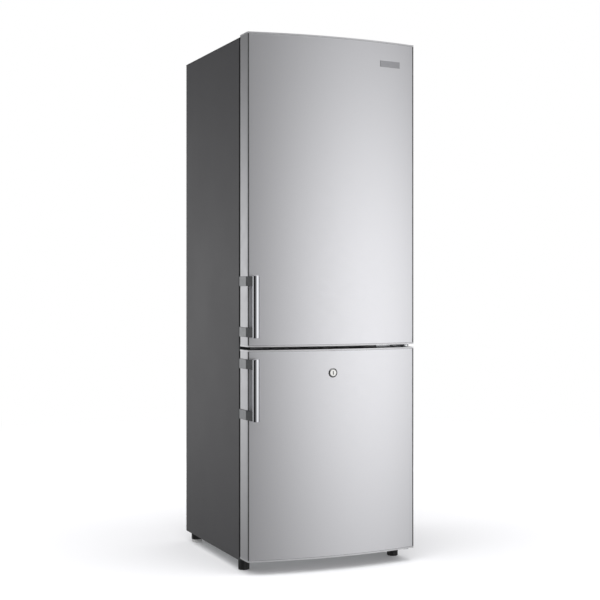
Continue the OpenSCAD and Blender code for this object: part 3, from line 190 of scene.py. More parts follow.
add(tree, "ShaderNodeOutputMaterial", {"Surface": mixed.outputs[0]})
floor_mesh.materials.append(paint)


# Side panels: one sheet of steel each, folded to a flange at the front and at the back, and powder
# coated in a dark grey, which gives the sheet a dull and finely pebbled skin.
MM = 0.001
door_low, door_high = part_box("upper_door_skin")
MIDDLE_X = (door_low.x + door_high.x) / 2
FRONT_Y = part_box("left_side_panel")[0].y


def new_material(name, colour, roughness, metallic=0.0):
    """A principled material with its plain values, its node tree and its shader node."""
    made = bpy.data.materials.new(name)
    made.use_nodes = True
    made.diffuse_color = linear(colour)
    shader = made.node_tree.nodes["Principled BSDF"]
    shader.inputs["Base Color"].default_value = linear(colour)
    shader.inputs["Roughness"].default_value = roughness
    shader.inputs["Metallic"].default_value = metallic
    return made, made.node_tree, shader


def patches(tree, size_mm, detail, stretch):
    """Level of a noise with patches of size_mm on the piece, from 0 to 1. Detail is its number of finer
    layers, and a stretch under 1 draws the patches out along that axis."""
    spot = add(tree, "ShaderNodeMapping", {"Vector": add(tree, "ShaderNodeTexCoord").outputs["Object"],
                                           "Scale": stretch})
    noise = add(tree, "ShaderNodeTexNoise", {"Vector": spot.outputs[0], "Scale": 1000 / size_mm,
                                             "Detail": detail})
    return noise.outputs[0]


def mottled(tree, shader, first, second, size_mm, stretch=(1, 1, 1)):
    """Base colour that drifts between two tones over patches of size_mm."""
    blend = add(tree, "ShaderNodeMix", {0: patches(tree, size_mm, 4.0, stretch), 6: linear(first),
                                        7: linear(second)}, data_type="RGBA")
    tree.links.new(blend.outputs[2], shader.inputs["Base Color"])


def roughened(tree, shader, low, high, size_mm, stretch=(1, 1, 1)):
    """Roughness that drifts between low and high over patches of size_mm."""
    level = add(tree, "ShaderNodeMapRange", {"Value": patches(tree, size_mm, 3.0, stretch), "From Min": 0.3,
                                             "From Max": 0.7, "To Min": low, "To Max": high})
    tree.links.new(level.outputs[0], shader.inputs["Roughness"])


def bumped(tree, shader, size_mm, depth_mm, stretch=(1, 1, 1)):
    """A grain of size_mm that stands depth_mm high."""
    relief = add(tree, "ShaderNodeBump", {"Height": patches(tree, size_mm, 2.0, stretch),
                                          "Distance": depth_mm * MM, "Strength": 1.0})
    tree.links.new(relief.outputs[0], shader.inputs["Normal"])


def filleted(points, radii, steps=6):
    """A closed outline with each corner turned into an arc: the arc's centre lies on the corner's
    bisector, at the radius over the sine of half the corner's angle, and its ends lie on the sides."""
    points = np.asarray(points, float)
    radii = np.broadcast_to(np.asarray(radii, float), len(points))
    run = []
    for here, before, after, r in zip(points, np.roll(points, 1, 0), np.roll(points, -1, 0), radii):
        a = (before - here) / np.linalg.norm(before - here)
        b = (after - here) / np.linalg.norm(after - here)
        half = math.acos(np.clip(a @ b, -1, 1)) / 2
        if r <= 0 or half > math.pi / 2 - 1e-3:
            run.append(here[None])
            continue
        reach = r / math.tan(half)
        centre = here + (a + b) / np.linalg.norm(a + b) * r / math.sin(half)
        u, v = here + a * reach - centre, here + b * reach - centre
        turn = math.acos(np.clip(u @ v / r ** 2, -1, 1))
        t = np.linspace(0, 1, steps + 1)[:, None]
        run.append(centre + (np.sin((1 - t) * turn) * u + np.sin(t * turn) * v) / math.sin(turn))
    return np.vstack(run)


def finished(name, vertices, faces, material, body, nodes=(), edge_mm=0.0, smooth_deg=32):
    """A mesh from its vertices and faces, with its doubles merged and facing outwards, then dressed."""
    mesh = bpy.data.meshes.new(name)
    mesh.from_pydata([tuple(v) for v in vertices], [], faces)
    shape = bmesh.new()
    shape.from_mesh(mesh)
    bmesh.ops.remove_doubles(shape, verts=shape.verts, dist=1e-6)
    bmesh.ops.recalc_face_normals(shape, faces=shape.faces)
    shape.to_mesh(mesh)
    shape.free()
    return dressed(name, mesh, material, body, nodes, edge_mm, smooth_deg)


def dressed(name, mesh, material, body, nodes, edge_mm, smooth_deg, segments=3):
    """The common end of every piece: smooth but for edges over smooth_deg, these with a bevel of edge_mm
    that leaves large faces flat, in its material, riding on its body and standing for its nodes."""
    mesh.shade_smooth()
    mesh.set_sharp_from_angle(angle=math.radians(smooth_deg))
    mesh.materials.clear()
    mesh.materials.append(material)
    piece = bpy.data.objects.new(name, mesh)
    bpy.context.scene.collection.objects.link(piece)
    if edge_mm:
        bevel = piece.modifiers.new("edge", "BEVEL")
        bevel.width = edge_mm * MM
        bevel.segments = segments
        bevel.limit_method = "ANGLE"
        bevel.angle_limit = math.radians(smooth_deg)
        bevel.harden_normals = True
        bevel.loop_slide = False
        bevel.miter_outer = "MITER_ARC"
        flat = piece.modifiers.new("flat faces", "WEIGHTED_NORMAL")
        flat.keep_sharp = True
    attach(piece, body)
    if nodes:
        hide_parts(*nodes)
    return piece


BODY_OF = {node: body for body, nodes in frame["record"]["behaviour"]["bodies"].items() for node in nodes}


def prism(name, outlines, low, high, material, body, nodes=(), edge_mm=0.0, axis="z"):
    """Outlines in millimetres carried straight along an axis, with flat ends. The outlines' own
    axes are x and y for z, x and z for y, and y and z for x."""
    vertices, faces, first = [], [], 0
    for outline in outlines:
        outline = np.asarray(outline, float)
        n = len(outline)
        for along in (low, high):
            column = np.full(n, float(along))
            order = {"z": (outline[:, 0], outline[:, 1], column), "y": (outline[:, 0], column, outline[:, 1]),
                     "x": (column, outline[:, 0], outline[:, 1])}[axis]
            vertices.append(np.stack(order, 1))
        i = np.arange(n) + first
        j = np.roll(i, -1)
        faces += np.stack([i, j, j + n, i + n], 1).tolist() + [i[::-1].tolist(), (i + n).tolist()]
        first += 2 * n
    vertices = np.vstack(vertices) * MM + (MIDDLE_X, FRONT_Y, 0)
    return finished(name, vertices, faces, material, body, nodes, edge_mm)


def span(node):
    """Lowest and highest corner of a node in cabinet millimetres, from the middle of the front edge."""
    low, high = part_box(node)
    shift = np.array([MIDDLE_X, FRONT_Y, 0])
    return (np.array(low) - shift) / MM, (np.array(high) - shift) / MM


COAT_GREY, COAT_GREY_DEEP = "#3d3d3f", "#3b3b3d"
COAT_SHEEN = 0.25
PEBBLE_MM, PEBBLE_DEEP = 1.6, 0.05
FOLD_R, SHEET_T = 3.0, 1.0
FRONT_FLANGE, REAR_FLANGE = 38.0, 14.0
coated_steel, tree, shader = new_material("powder coated steel", COAT_GREY, 0.42)
shader.inputs["Specular IOR Level"].default_value = COAT_SHEEN
mottled(tree, shader, COAT_GREY, COAT_GREY_DEEP, 900)
roughened(tree, shader, 0.4, 0.43, 200)
bumped(tree, shader, PEBBLE_MM, PEBBLE_DEEP)
panel_low, panel_high = span("right_side_panel")
HALF_W, DEPTH = panel_high[:2]
for side, node in ((-1, "left_side_panel"), (1, "right_side_panel")):
    fold = [(HALF_W - FRONT_FLANGE, 0), (HALF_W, 0), (HALF_W, DEPTH), (HALF_W - REAR_FLANGE, DEPTH),
            (HALF_W - REAR_FLANGE, DEPTH - SHEET_T), (HALF_W - SHEET_T, DEPTH - SHEET_T),
            (HALF_W - SHEET_T, SHEET_T), (HALF_W - FRONT_FLANGE, SHEET_T)]
    corners = [0, FOLD_R, FOLD_R, 0, 0, FOLD_R - SHEET_T, FOLD_R - SHEET_T, 0]
    outline = filleted(fold, corners) * (side, 1)
    prism(node + "_folded", [outline], panel_low[2], panel_high[2], coated_steel, "cabinet", [node], 0.3)


# Lid: black polypropylene with a raised rim and a soft grain, on top of the side panels. The cap over
# the top hinge is moulded of the same plastic.
def softened(node, material, edge_mm, smooth_deg=32, segments=2):
    """A copy of the node's own mesh, merged to clean faces, with a bevel of edge_mm on its real edges, as
    moulds and press tools leave them. Faces of more than four corners are cut to triangles first,
    because a bevel can fold such a face over."""
    mesh = frame["nodes"][node].data.copy()
    shape = bmesh.new()
    shape.from_mesh(mesh)
    bmesh.ops.remove_doubles(shape, verts=shape.verts, dist=2e-6)
    bmesh.ops.dissolve_limit(shape, angle_limit=math.radians(0.4), verts=shape.verts, edges=shape.edges)
    bmesh.ops.triangulate(shape, faces=[face for face in shape.faces if len(face.verts) > 4])
    shape.to_mesh(mesh)
    shape.free()
    return dressed(node + "_finished", mesh, material, BODY_OF[node], [node], edge_mm, smooth_deg, segments)


black_plastic, tree, shader = new_material("grained polypropylene", "#232325", 0.55)
mottled(tree, shader, "#212123", "#28282a", 30)
bumped(tree, shader, 1.2, 0.06)
softened("top_lid", black_plastic, 1.0)
softened("top_hinge_cover", black_plastic, 1.2)

# Back sheet and base plate: steel sheet, dipped in zinc, whose crystals show as a pale spangle of
# patches that differ in tone and gloss.
zinc_steel, tree, shader = new_material("galvanised steel", "#a9acae", 0.45, 0.85)
SPANGLE_MM = 14
place = add(tree, "ShaderNodeTexCoord").outputs["Object"]
crystal = add(tree, "ShaderNodeTexVoronoi", {"Vector": place, "Scale": 1000 / SPANGLE_MM})
shade = add(tree, "ShaderNodeSeparateColor", {0: crystal.outputs["Color"]})
tone = add(tree, "ShaderNodeMix", {0: shade.outputs[0], 6: linear("#a3a6a8"), 7: linear("#b9bcbe")},
           data_type="RGBA")
tree.links.new(tone.outputs[2], shader.inputs["Base Color"])
gloss = add(tree, "ShaderNodeMapRange", {"Value": shade.outputs[1], "To Min": 0.36, "To Max": 0.52})
tree.links.new(gloss.outputs[0], shader.inputs["Roughness"])
softened("back_sheet", zinc_steel, 0.4)
softened("base_plate", zinc_steel, 0.4)

# Foam: rigid polyurethane, foamed in place between sheets and liners, with fine bubbles and a cream
# colour. It fills its space with plain faces, so it is shaded flat and has no bevel.
foam, tree, shader = new_material("rigid polyurethane foam", "#e2d29a", 0.9)
mottled(tree, shader, "#e6d8a6", "#d8c68a", 9)
bumped(tree, shader, 1.5, 0.3)
for node in ("cabinet_foam", "upper_door_core", "lower_door_core"):
    softened(node, foam, 0, smooth_deg=1)

# Liners: white polystyrene, drawn into a mould by vacuum, so every corner is round. The cabinet's
# liners turn out in a flange at the front and have ledges in their walls; the doors' have ridges.
white_liner, tree, shader = new_material("vacuum formed polystyrene", "#eceef0", 0.34)
mottled(tree, shader, "#eef0f1", "#e8eaec", 180)
roughened(tree, shader, 0.3, 0.4, 40)
bumped(tree, shader, 3.0, 0.02)
for node in ("fridge_liner", "freezer_liner"):
    softened(node, white_liner, 2.5, segments=3)
for node in ("upper_door_liner", "lower_door_liner"):
    softened(node, white_liner, 4.0, segments=3)

# Cross rails: steel channels between the flanges of the side panels, coated in a light grey. The doors
# close against them.
coated_rail, tree, shader = new_material("coated rail steel", "#b7b8ba", 0.4)
mottled(tree, shader, "#b4b5b7", "#bcbdbf", 60)
bumped(tree, shader, 1.6, 0.04)
softened("cross_rails", coated_rail, 0.4)

# Hinges: steel arms with turned pins on flanges that are screwed to the cabinet, bright zinc plated,
# which gives them a mild mirror gloss. The screws show their pan heads.
plated_steel, tree, shader = new_material("bright zinc plated steel", "#d4d6d9", 0.16, 0.8)
mottled(tree, shader, "#d8dadd", "#cacdd0", 18)
roughened(tree, shader, 0.12, 0.2, 12)
for node in ("top_hinge", "middle_hinge", "bottom_hinge"):
    softened(node, plated_steel, 0.6)
softened("hinge_screws", plated_steel, 0.8)

# Feet: black polyamide discs, moulded. The front ones hang on their screws and have scallops round the
# rim for the fingers; the rear ones stand on glides, pressed in from below, whose pale colour is painted
# light for a bright band under the rear feet.
def turned(profile, centre, axis="z", steps=96, scallops=0, depth=0.0):
    """Vertices and faces of a profile of (radius, place along the axis) in millimetres, turned about
    the axis through centre. Radii over 12 mm are cut back by depth in as many cosine scallops."""
    profile = np.asarray(profile, float)
    angle = np.linspace(0, 2 * np.pi, steps, endpoint=False)[:, None]
    wave = np.where(profile[:, 0] > 12, depth / 2, 0) * (1 - np.cos(scallops * angle))
    radius = profile[:, 0] - wave
    across, up = radius * np.cos(angle), radius * np.sin(angle)
    along = np.broadcast_to(profile[:, 1], radius.shape)
    order = {"z": (across, up, along), "y": (across, along, up)}[axis]
    vertices = (np.stack(order, -1).reshape(-1, 3) + centre) * MM + (MIDDLE_X, FRONT_Y, 0)
    i, j = np.meshgrid(np.arange(steps), np.arange(len(profile)), indexing="ij")
    i, j = i.ravel(), j.ravel()
    i_next, j_next = (i + 1) % steps, (j + 1) % len(profile)
    n = len(profile)
    faces = np.stack([i * n + j, i_next * n + j, i_next * n + j_next, i * n + j_next], 1).tolist()
    return vertices, faces


FOOT_R, SCREW_R, FOOT_EDGE = 19.0, 4.0, 3.0
DISC_GAP, DISC_CHAMFER, SCALLOPS, SCALLOP_DEEP = 0.3, 2.0, 10, 1.6
GLIDE_R, GLIDE_H, GLIDE_EDGE, GLIDE_GAP = 18.0, 11.0, 4.0, 0.3


def quarter(radius, edge):
    """Lower edge of a disc as (radius, height): a quarter circle of radius edge, by sine and cosine."""
    angle = np.linspace(0, np.pi / 2, 7)
    return np.stack([radius - edge + edge * np.sin(angle), edge - edge * np.cos(angle)], 1)


foot_plastic, tree, shader = new_material("moulded polyamide", "#101011", 0.48)
mottled(tree, shader, "#0f0f10", "#161617", 12)
bumped(tree, shader, 1.0, 0.05)
# Painted light: the glides are pale to give a bright band under the rear feet
glide_painted_light, tree, shader = new_material("polyethylene glide pale as painted light", "#c9c9c8", 0.5)
mottled(tree, shader, "#cccccb", "#c0c0bf", 10)
for node in ("front_left_foot", "front_right_foot"):
    low, high = span(node)
    disc_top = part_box("base_plate")[0].z / MM - DISC_GAP
    foot = np.vstack([[(0, 0)], quarter(FOOT_R, FOOT_EDGE),
                      [(FOOT_R, disc_top - DISC_CHAMFER), (FOOT_R - DISC_CHAMFER, disc_top),
                       (SCREW_R, disc_top), (SCREW_R, high[2]), (0, high[2])]])
    centre = ((low[0] + high[0]) / 2, (low[1] + high[1]) / 2, 0)
    finished(node + "_scalloped", *turned(foot, centre, scallops=SCALLOPS, depth=SCALLOP_DEEP), foot_plastic,
             BODY_OF[node], [node])
low, high = span("rear_feet")
shank = [(0, GLIDE_H), (GLIDE_R, GLIDE_H), (FOOT_R, GLIDE_H + 1), (FOOT_R, high[2]), (0, high[2])]
pad_top = GLIDE_H - GLIDE_GAP
pad = np.vstack([[(0, 0)], quarter(GLIDE_R, GLIDE_EDGE), [(GLIDE_R, pad_top), (0, pad_top)]])
for side, name, stands_for in ((-1, "left", ["rear_feet"]), (1, "right", ())):
    centre = (side * (high[0] - FOOT_R), (low[1] + high[1]) / 2, 0)
    foot = finished("rear_foot_" + name, *turned(shank, centre), foot_plastic, "cabinet", stands_for)
    glide = finished("rear_glide_" + name, *turned(pad, centre), glide_painted_light, "cabinet")

# Compressor: a drawn steel can, welded at a seam and under thick black enamel, which gives it a deep
# gloss. It stands on rubber grommets, with its relay box at the side.
black_enamel, tree, shader = new_material("black enamel", "#0e0f10", 0.22)
mottled(tree, shader, "#0d0e0f", "#141516", 25)
bumped(tree, shader, 4.0, 0.05)
shader.inputs["Coat Weight"].default_value = 0.4
softened("compressor", black_enamel, 0.8)
soft_rubber, tree, shader = new_material("nitrile rubber", "#151515", 0.78)
mottled(tree, shader, "#141414", "#1c1c1c", 8)
softened("compressor_mounts", soft_rubber, 0.8)
softened("start_relay_box", black_plastic, 1.2)

# Cooling circuit: drawn copper tube, tarnished in patches, the wire condenser under black enamel with
# its plastic clips, and evaporators of two aluminium sheets, rolled together and blown up to channels.
copper, tree, shader = new_material("drawn copper tube", "#b5714a", 0.3, 1.0)
mottled(tree, shader, "#c07a50", "#8f5636", 22)
roughened(tree, shader, 0.3, 0.42, 15)
softened("refrigerant_pipes", copper, 0)
softened("condenser", black_enamel, 0)
softened("condenser_brackets", black_plastic, 0.8)
plate_aluminium, tree, shader = new_material("roll bonded aluminium", "#c3c7cb", 0.38, 0.9)
mottled(tree, shader, "#c8ccd0", "#b8bcc0", 30)
roughened(tree, shader, 0.32, 0.46, 20)
softened("evaporators", plate_aluminium, 0.4)

# Small parts at the back: the black drip tray on the compressor, the gland of the mains lead, and the
# drain tube of moulded white ABS.
softened("drip_tray", black_plastic, 1.0)
softened("mains_inlet", black_plastic, 0.8)
white_plastic, tree, shader = new_material("moulded white ABS", "#eeeeee", 0.36)
mottled(tree, shader, "#f0f0f0", "#e9e9ea", 60)
bumped(tree, shader, 1.2, 0.02)
softened("drain_tube", white_plastic, 0)

# Shelves: toughened glass with ground edges, faintly green, held in white ABS trims at the front and
# at the rear.
shelf_glass, tree, shader = new_material("toughened glass", "#e3f2ef", 0.03)
shader.inputs["Transmission Weight"].default_value = 1.0
shader.inputs["IOR"].default_value = 1.52
roughened(tree, shader, 0.02, 0.05, 80)
softened("glass_shelves", shelf_glass, 0.6)
softened("shelf_trims", white_plastic, 1.5)

# Control box under the ceiling: white ABS, with the thermostat's knob, the plunger of the light switch,
# and a lamp of opal glass under a cover of frosted polystyrene.
softened("control_housing", white_plastic, 2.0)
softened("thermostat_knob", white_plastic, 0.8)
softened("light_switch", white_plastic, 0.5)
lamp_glass, tree, shader = new_material("opal lamp glass", "#fff4d8", 0.2)
mottled(tree, shader, "#fff6de", "#fbeecb", 10)
softened("lamp", lamp_glass, 0)
frosted, tree, shader = new_material("frosted polystyrene", "#f3f7f8", 0.24)
shader.inputs["Transmission Weight"].default_value = 0.75
bumped(tree, shader, 1.0, 0.03)
softened("lamp_cover", frosted, 0.8)

# Crispers and freezer drawers: frosted polystyrene, moulded thin with round corners, a round lower edge
# and a small draft, so that the mould lets them go. A rim runs round the top, and a hood along the
# front is the grip.
BIN_T, BIN_CORNER, BIN_CORNER_LEAST, BIN_BEND, BIN_RIM, BIN_DRAFT = 3.0, 14.0, 3.0, 6.0, 2.2, 2.0
GRIP_OUT, GRIP_H, GRIP_IN = 7.0, 22.0, 20.0
# Rim as (inset, height), and grip as (place behind the front, height), both from the top edge
BRIM = ((BIN_RIM, -3.5), (0.4, -3.2), (0, -2.8), (0, -0.8), (0.8, 0), (BIN_RIM + BIN_T - 0.8, 0),
        (BIN_RIM + BIN_T, -0.8))
HOOD = ((1, -0.4), (-GRIP_OUT, -0.4), (-GRIP_OUT, -GRIP_H), (BIN_T - GRIP_OUT, -GRIP_H),
        (BIN_T - GRIP_OUT, -BIN_T), (1, -BIN_T))
HOOD_RADII = (0, 4, 1, 1, 1.5, 0)


def rounded_rectangle(half_x, half_y, radius, steps=8):
    """Four quarter circles at the corners: centre plus radius times cosine and sine."""
    angle = np.linspace(0, np.pi / 2, steps + 1)
    arcs = [np.stack([sx * (half_x - radius) + radius * np.cos(angle + turn),
                      sy * (half_y - radius) + radius * np.sin(angle + turn)], 1)
            for sx, sy, turn in ((1, 1, 0), (-1, 1, np.pi / 2), (-1, -1, np.pi), (1, -1, 1.5 * np.pi))]
    return np.vstack(arcs)


def tray(low, high, profile):
    """Rings of a rounded rectangle, moved in by each (inset, height) of the profile, joined in order
    and closed with a flat face at either end."""
    centre, half = (low + high) / 2, (high - low) / 2
    rings = []
    for inset, z in profile:
        radius = max(BIN_CORNER - inset, BIN_CORNER_LEAST)
        ring = rounded_rectangle(half[0] - inset, half[1] - inset, radius)
        rings.append(np.column_stack([ring[:, 0] + centre[0], ring[:, 1] + centre[1], np.full(len(ring), z)]))
    n = len(rings[0])
    i, j = np.meshgrid(np.arange(len(rings) - 1), np.arange(n), indexing="ij")
    i, j = i.ravel(), j.ravel()
    k = (j + 1) % n
    faces = np.stack([i * n + j, i * n + k, (i + 1) * n + k, (i + 1) * n + j], 1).tolist()
    faces += [list(range(n))[::-1], [(len(rings) - 1) * n + m for m in range(n)]]
    return np.vstack(rings) * MM + (MIDDLE_X, FRONT_Y, 0), faces


bend = np.linspace(0, np.pi / 2, 6)
for node in ("crisper_left", "crisper_right", "drawer_bottom", "drawer_middle", "drawer_top"):
    low, high = span(node)
    low[1] += GRIP_OUT
    lean = BIN_RIM + BIN_DRAFT
    outside = np.stack([lean + BIN_BEND * (1 - np.sin(bend)), low[2] + BIN_BEND * (1 - np.cos(bend))], 1)
    inside = outside + (BIN_T, BIN_T)
    brim = np.array(BRIM) + (0, high[2])
    vertices, faces = tray(low, high, np.vstack([outside, brim, inside[::-1]]))
    finished(node + "_moulded", vertices, faces, frosted, BODY_OF[node], [node], 0, 40)
    hood = filleted(np.array(HOOD) + (low[1], high[2]), HOOD_RADII, 5)
    grip = prism(node + "_grip", [hood], low[0] + GRIP_IN, high[0] - GRIP_IN, frosted, BODY_OF[node],
                 edge_mm=0.5, axis="x")

# Door skins: steel sheet under a silver metallic laminate, brushed across, rolled to a shallow bow and
# turned back into a seam at each side. A thin dark strip of painted shade, for the joint's shadow, parts it
# from the end caps.
SKIN_T, SKIN_EDGE_R, END_LINE, LINE_SUNK = 1.0, 1.0, 0.6, 0.6
silver_skin, tree, shader = new_material("silver laminated steel", "#c9c9cc", 0.3, 1.0)
# Real flakes and brush lines measure some hundredths of a millimetre. These are as coarse as they need
# to be to show.
FLAKE_MM, BRUSH_MM, BRUSH_DEEP = 0.9, 1.2, 0.0015
ALONG_FLAKE, ALONG_BRUSH = (0.12, 1, 1), (0.05, 1, 1)
mottled(tree, shader, "#e0e0e3", "#dadade", FLAKE_MM, ALONG_FLAKE)
roughened(tree, shader, 0.29, 0.33, 2.0, ALONG_BRUSH)
bumped(tree, shader, BRUSH_MM, BRUSH_DEEP, ALONG_BRUSH)
# Painted shade: a dark strip laid in the joints and seams, for the shadow in them
painted_seam_shade, tree, shader = new_material("painted seam shade strip", "#2e2e30", 0.6)
mottled(tree, shader, "#2c2c2e", "#343436", 10)


def bow(x, middle_y, corner_y, half):
    """Depth of a bowed front: a circle through the middle point and both edge points."""
    rise = corner_y - middle_y
    radius = (half ** 2 + rise ** 2) / (2 * rise)
    return middle_y + radius - np.sqrt(radius ** 2 - np.asarray(x, float) ** 2)


BOW_RISE, SKIN_PROUD = 33.0, 0.7
# The bow's own points end BOW_END from the skin's side, and the edge's arc heads for a point ONWARD from it
BOW_END, ONWARD = 3.5, 30.0
skin_low, skin_high = span("upper_door_skin")
skin_half = skin_high[0] + SKIN_PROUD
APEX_Y, SEAM_Y = skin_low[1], skin_high[1]
DOOR_CORNER_Y = APEX_Y + BOW_RISE


def skin_outline(inset):
    """Outer line of the skin in plan, moved in by inset: straight at the left seam, an arc at the edge,
    the bow, and the same mirrored at the right."""
    half = skin_half - inset
    edge_y = bow(half, APEX_Y, DOOR_CORNER_Y, HALF_W) + inset
    onward = (ONWARD - half, bow(half - ONWARD, APEX_Y, DOOR_CORNER_Y, HALF_W) + inset)
    side = filleted([(-half, SEAM_Y), (-half, edge_y), onward], [0, SKIN_EDGE_R - inset, 0], 6)[:-1]
    x = np.linspace(BOW_END - half, half - BOW_END, 97)
    front = np.stack([x, bow(x, APEX_Y, DOOR_CORNER_Y, HALF_W) + inset], 1)
    return np.vstack([side[:-1], front, (side[:-1] * (-1, 1))[::-1]])


for door, body in (("upper_door", "fridge_door"), ("lower_door", "freezer_door")):
    low, high = span(door + "_skin")
    outline = np.vstack([skin_outline(0.0), skin_outline(SKIN_T)[::-1]])
    prism(door + "_skin_rolled", [outline], low[2] + END_LINE, high[2] - END_LINE, silver_skin, body,
          [door + "_skin"], 0.25)
    groove = np.vstack([skin_outline(LINE_SUNK), skin_outline(LINE_SUNK + SKIN_T)[::-1]])
    # Dark strips of painted shade in the joints to the end caps
    for end, name in ((low[2], "_joint_below"), (high[2] - END_LINE, "_joint_above")):
        strip = prism(door + name, [groove], end, end + END_LINE, painted_seam_shade, body)

# Plate at the fridge door's upper right: a bare strip of brushed aluminium, bent to the bow and glued
# on the skin.
PLATE_X, PLATE_Z, PLATE_W, PLATE_H, PLATE_T = 200.0, 1664.0, 78.0, 21.0, 1.2
plate_metal, tree, shader = new_material("brushed aluminium plate", "#b4b4b8", 0.36, 1.0)
mottled(tree, shader, "#b8b8bc", "#a8a8ac", 3, (0.1, 1, 1))
bumped(tree, shader, 0.8, 0.01, ALONG_BRUSH)
x = PLATE_X + np.linspace(-PLATE_W / 2, PLATE_W / 2, 25)
outer = np.stack([x, bow(x, APEX_Y, DOOR_CORNER_Y, HALF_W) - PLATE_T], 1)
plate = prism("bare_plate", [np.vstack([outer, (outer + (0, PLATE_T + 0.2))[::-1]])], PLATE_Z - PLATE_H / 2,
              PLATE_Z + PLATE_H / 2, plate_metal, "fridge_door", (), 0.5)

# Side trims: aluminium, extruded with a lip at the front and tongues into the door, and anodised silver.
# A dark strip of painted shade, for the seam's shadow, fills the seam beside the skin and laps over the
# skin's edge.
TRIM_T, TRIM_TURN, TRIM_CURVE, TONGUE, TRIM_LIP = 1.2, 1.2, 18.0, 12.0, 3.5
TRIM_HEEL_R, TRIM_NOSE_R = 1.5, 0.55
# Width of the painted shade's lap as (side, millimetres): wider on the hinge side, where the seam lies deeper
# in shade
SHADE_LAP = ((-1, 0.2), (1, 3.0))
silver_trim, tree, shader = new_material("anodised aluminium trim", "#cbcbce", 0.34, 1.0)
mottled(tree, shader, "#cdcdd0", "#c6c6c9", 40)
roughened(tree, shader, 0.31, 0.38, 30)
trim_back = span("upper_door_trims")[1][1]
trim_front = SEAM_Y - TRIM_LIP
turn_r = (TRIM_CURVE ** 2 + TRIM_TURN ** 2) / (2 * TRIM_TURN)
run = np.linspace(0, TRIM_CURVE, 13)
curve = np.stack([turn_r - np.sqrt(turn_r ** 2 - run ** 2), trim_front + TRIM_CURVE - run], 1)
lip = TRIM_TURN + TRIM_T
fold = np.vstack([[(0, trim_back)], curve, [
    (lip, trim_front), (lip, SEAM_Y), (TONGUE, SEAM_Y), (TONGUE, SEAM_Y + TRIM_T),
    (lip - 0.2, SEAM_Y + TRIM_T), (TRIM_T, trim_front + TRIM_CURVE), (TRIM_T, trim_back - TRIM_T),
    (TONGUE, trim_back - TRIM_T), (TONGUE, trim_back)]])
rounding = np.zeros(len(fold))
rounding[0], rounding[len(curve):len(curve) + 2] = TRIM_HEEL_R, TRIM_NOSE_R
trim_plan = filleted(fold, rounding, 5)
skin_edge_y = bow(skin_half, APEX_Y, DOOR_CORNER_Y, HALF_W)
seam_half = HALF_W - lip
for door, body in (("upper_door", "fridge_door"), ("lower_door", "freezer_door")):
    low, high = span(door + "_trims")
    both = [(trim_plan - (HALF_W, 0)) * (side, 1) for side in (1, -1)]
    prism(door + "_trims_folded", both, low[2], high[2], silver_trim, body, [door + "_trims"], 0.2)
    shade_strips = []
    # Each strip is painted shade for the shadow in the seam
    for side, lap in SHADE_LAP:
        shade_strip = np.array([(skin_half + 0.02, SEAM_Y), (skin_half + 0.02, skin_edge_y + 0.2),
                         (skin_half - lap, bow(skin_half - lap, APEX_Y, DOOR_CORNER_Y, HALF_W) - 0.4),
                         (skin_half + 1.0, skin_edge_y - 0.3), (seam_half + 1.0, trim_front - 0.6),
                         (seam_half + 1.0, trim_front - 0.05), (seam_half - 0.02, trim_front - 0.05),
                         (seam_half - 0.02, SEAM_Y)])
        shade_strips.append(shade_strip * (side, 1))
    shade_strips = prism(door + "_seam_shade_strips", shade_strips, low[2], high[2], painted_seam_shade, body)

# End caps: moulded ABS, painted silver like the skin, each with the bush of a hinge pin. The paint lies
# over a faint grain.
cap_plastic, tree, shader = new_material("silver painted ABS", "#d4d4d6", 0.34, 0.8)
mottled(tree, shader, "#d6d6d8", "#cfcfd2", 30)
bumped(tree, shader, 1.0, 0.008)
for node in ("upper_door_caps", "lower_door_caps"):
    softened(node, cap_plastic, 0.7, segments=3)

# Seals: soft PVC, extruded with a root on the door's back, a bellows and a broad lip for the
# magnet. Its near black is partly its own colour and partly painted shade for the dark gap. A thin black
# outer lip on the opening side is a strip of painted shade for the gap's shadow. The surface is dull and
# drinks light.
SEAL_SHEEN = 0.06
LIP_OUT, LIP_T, LIP_GAP = 0.1, 1.6, 0.7
# Near black: partly the seal's own colour, partly painted shade for the gap between door and cabinet
seal_and_gap_shade, tree, shader = new_material("soft PVC near black with painted shade", "#0b0b0c", 0.8)
shader.inputs["Specular IOR Level"].default_value = SEAL_SHEEN
mottled(tree, shader, "#0a0a0b", "#0f0f10", 20)
for door, body in (("upper_door", "fridge_door"), ("lower_door", "freezer_door")):
    softened(door + "_seal", seal_and_gap_shade, 1.0)
    low, high = span(door + "_trims")
    # The outer lip is a dark strip of painted shade, for the shadow in the gap
    outer, inner = LIP_OUT - HALF_W, LIP_OUT + LIP_T - HALF_W
    section = filleted([(outer, trim_back + 0.05), (inner, trim_back + 0.05), (inner, -LIP_GAP),
                        (outer, -LIP_GAP)], [0, 0, 0.6, 0.6], 4)
    gap_shade_lip = prism(door + "_seal_shade_lip", [section], low[2] + 1, high[2] - 1, seal_and_gap_shade, body)

# Handles: chrome plated bars with flat sides and a bowed front, on die cast brackets. A bracket's plate
# lies on the door's side; its arm turns in and runs forward to the bar, and is coloured darker as painted
# shade.
chrome, tree, shader = new_material("chrome plate", "#c4c5c9", 0.05, 1.0)
roughened(tree, shader, 0.04, 0.07, 30)
bracket_metal, tree, shader = new_material("satin nickel die casting", "#8b8c8e", 0.34, 0.85)
mottled(tree, shader, "#8f9092", "#848587", 14)
roughened(tree, shader, 0.3, 0.4, 10)
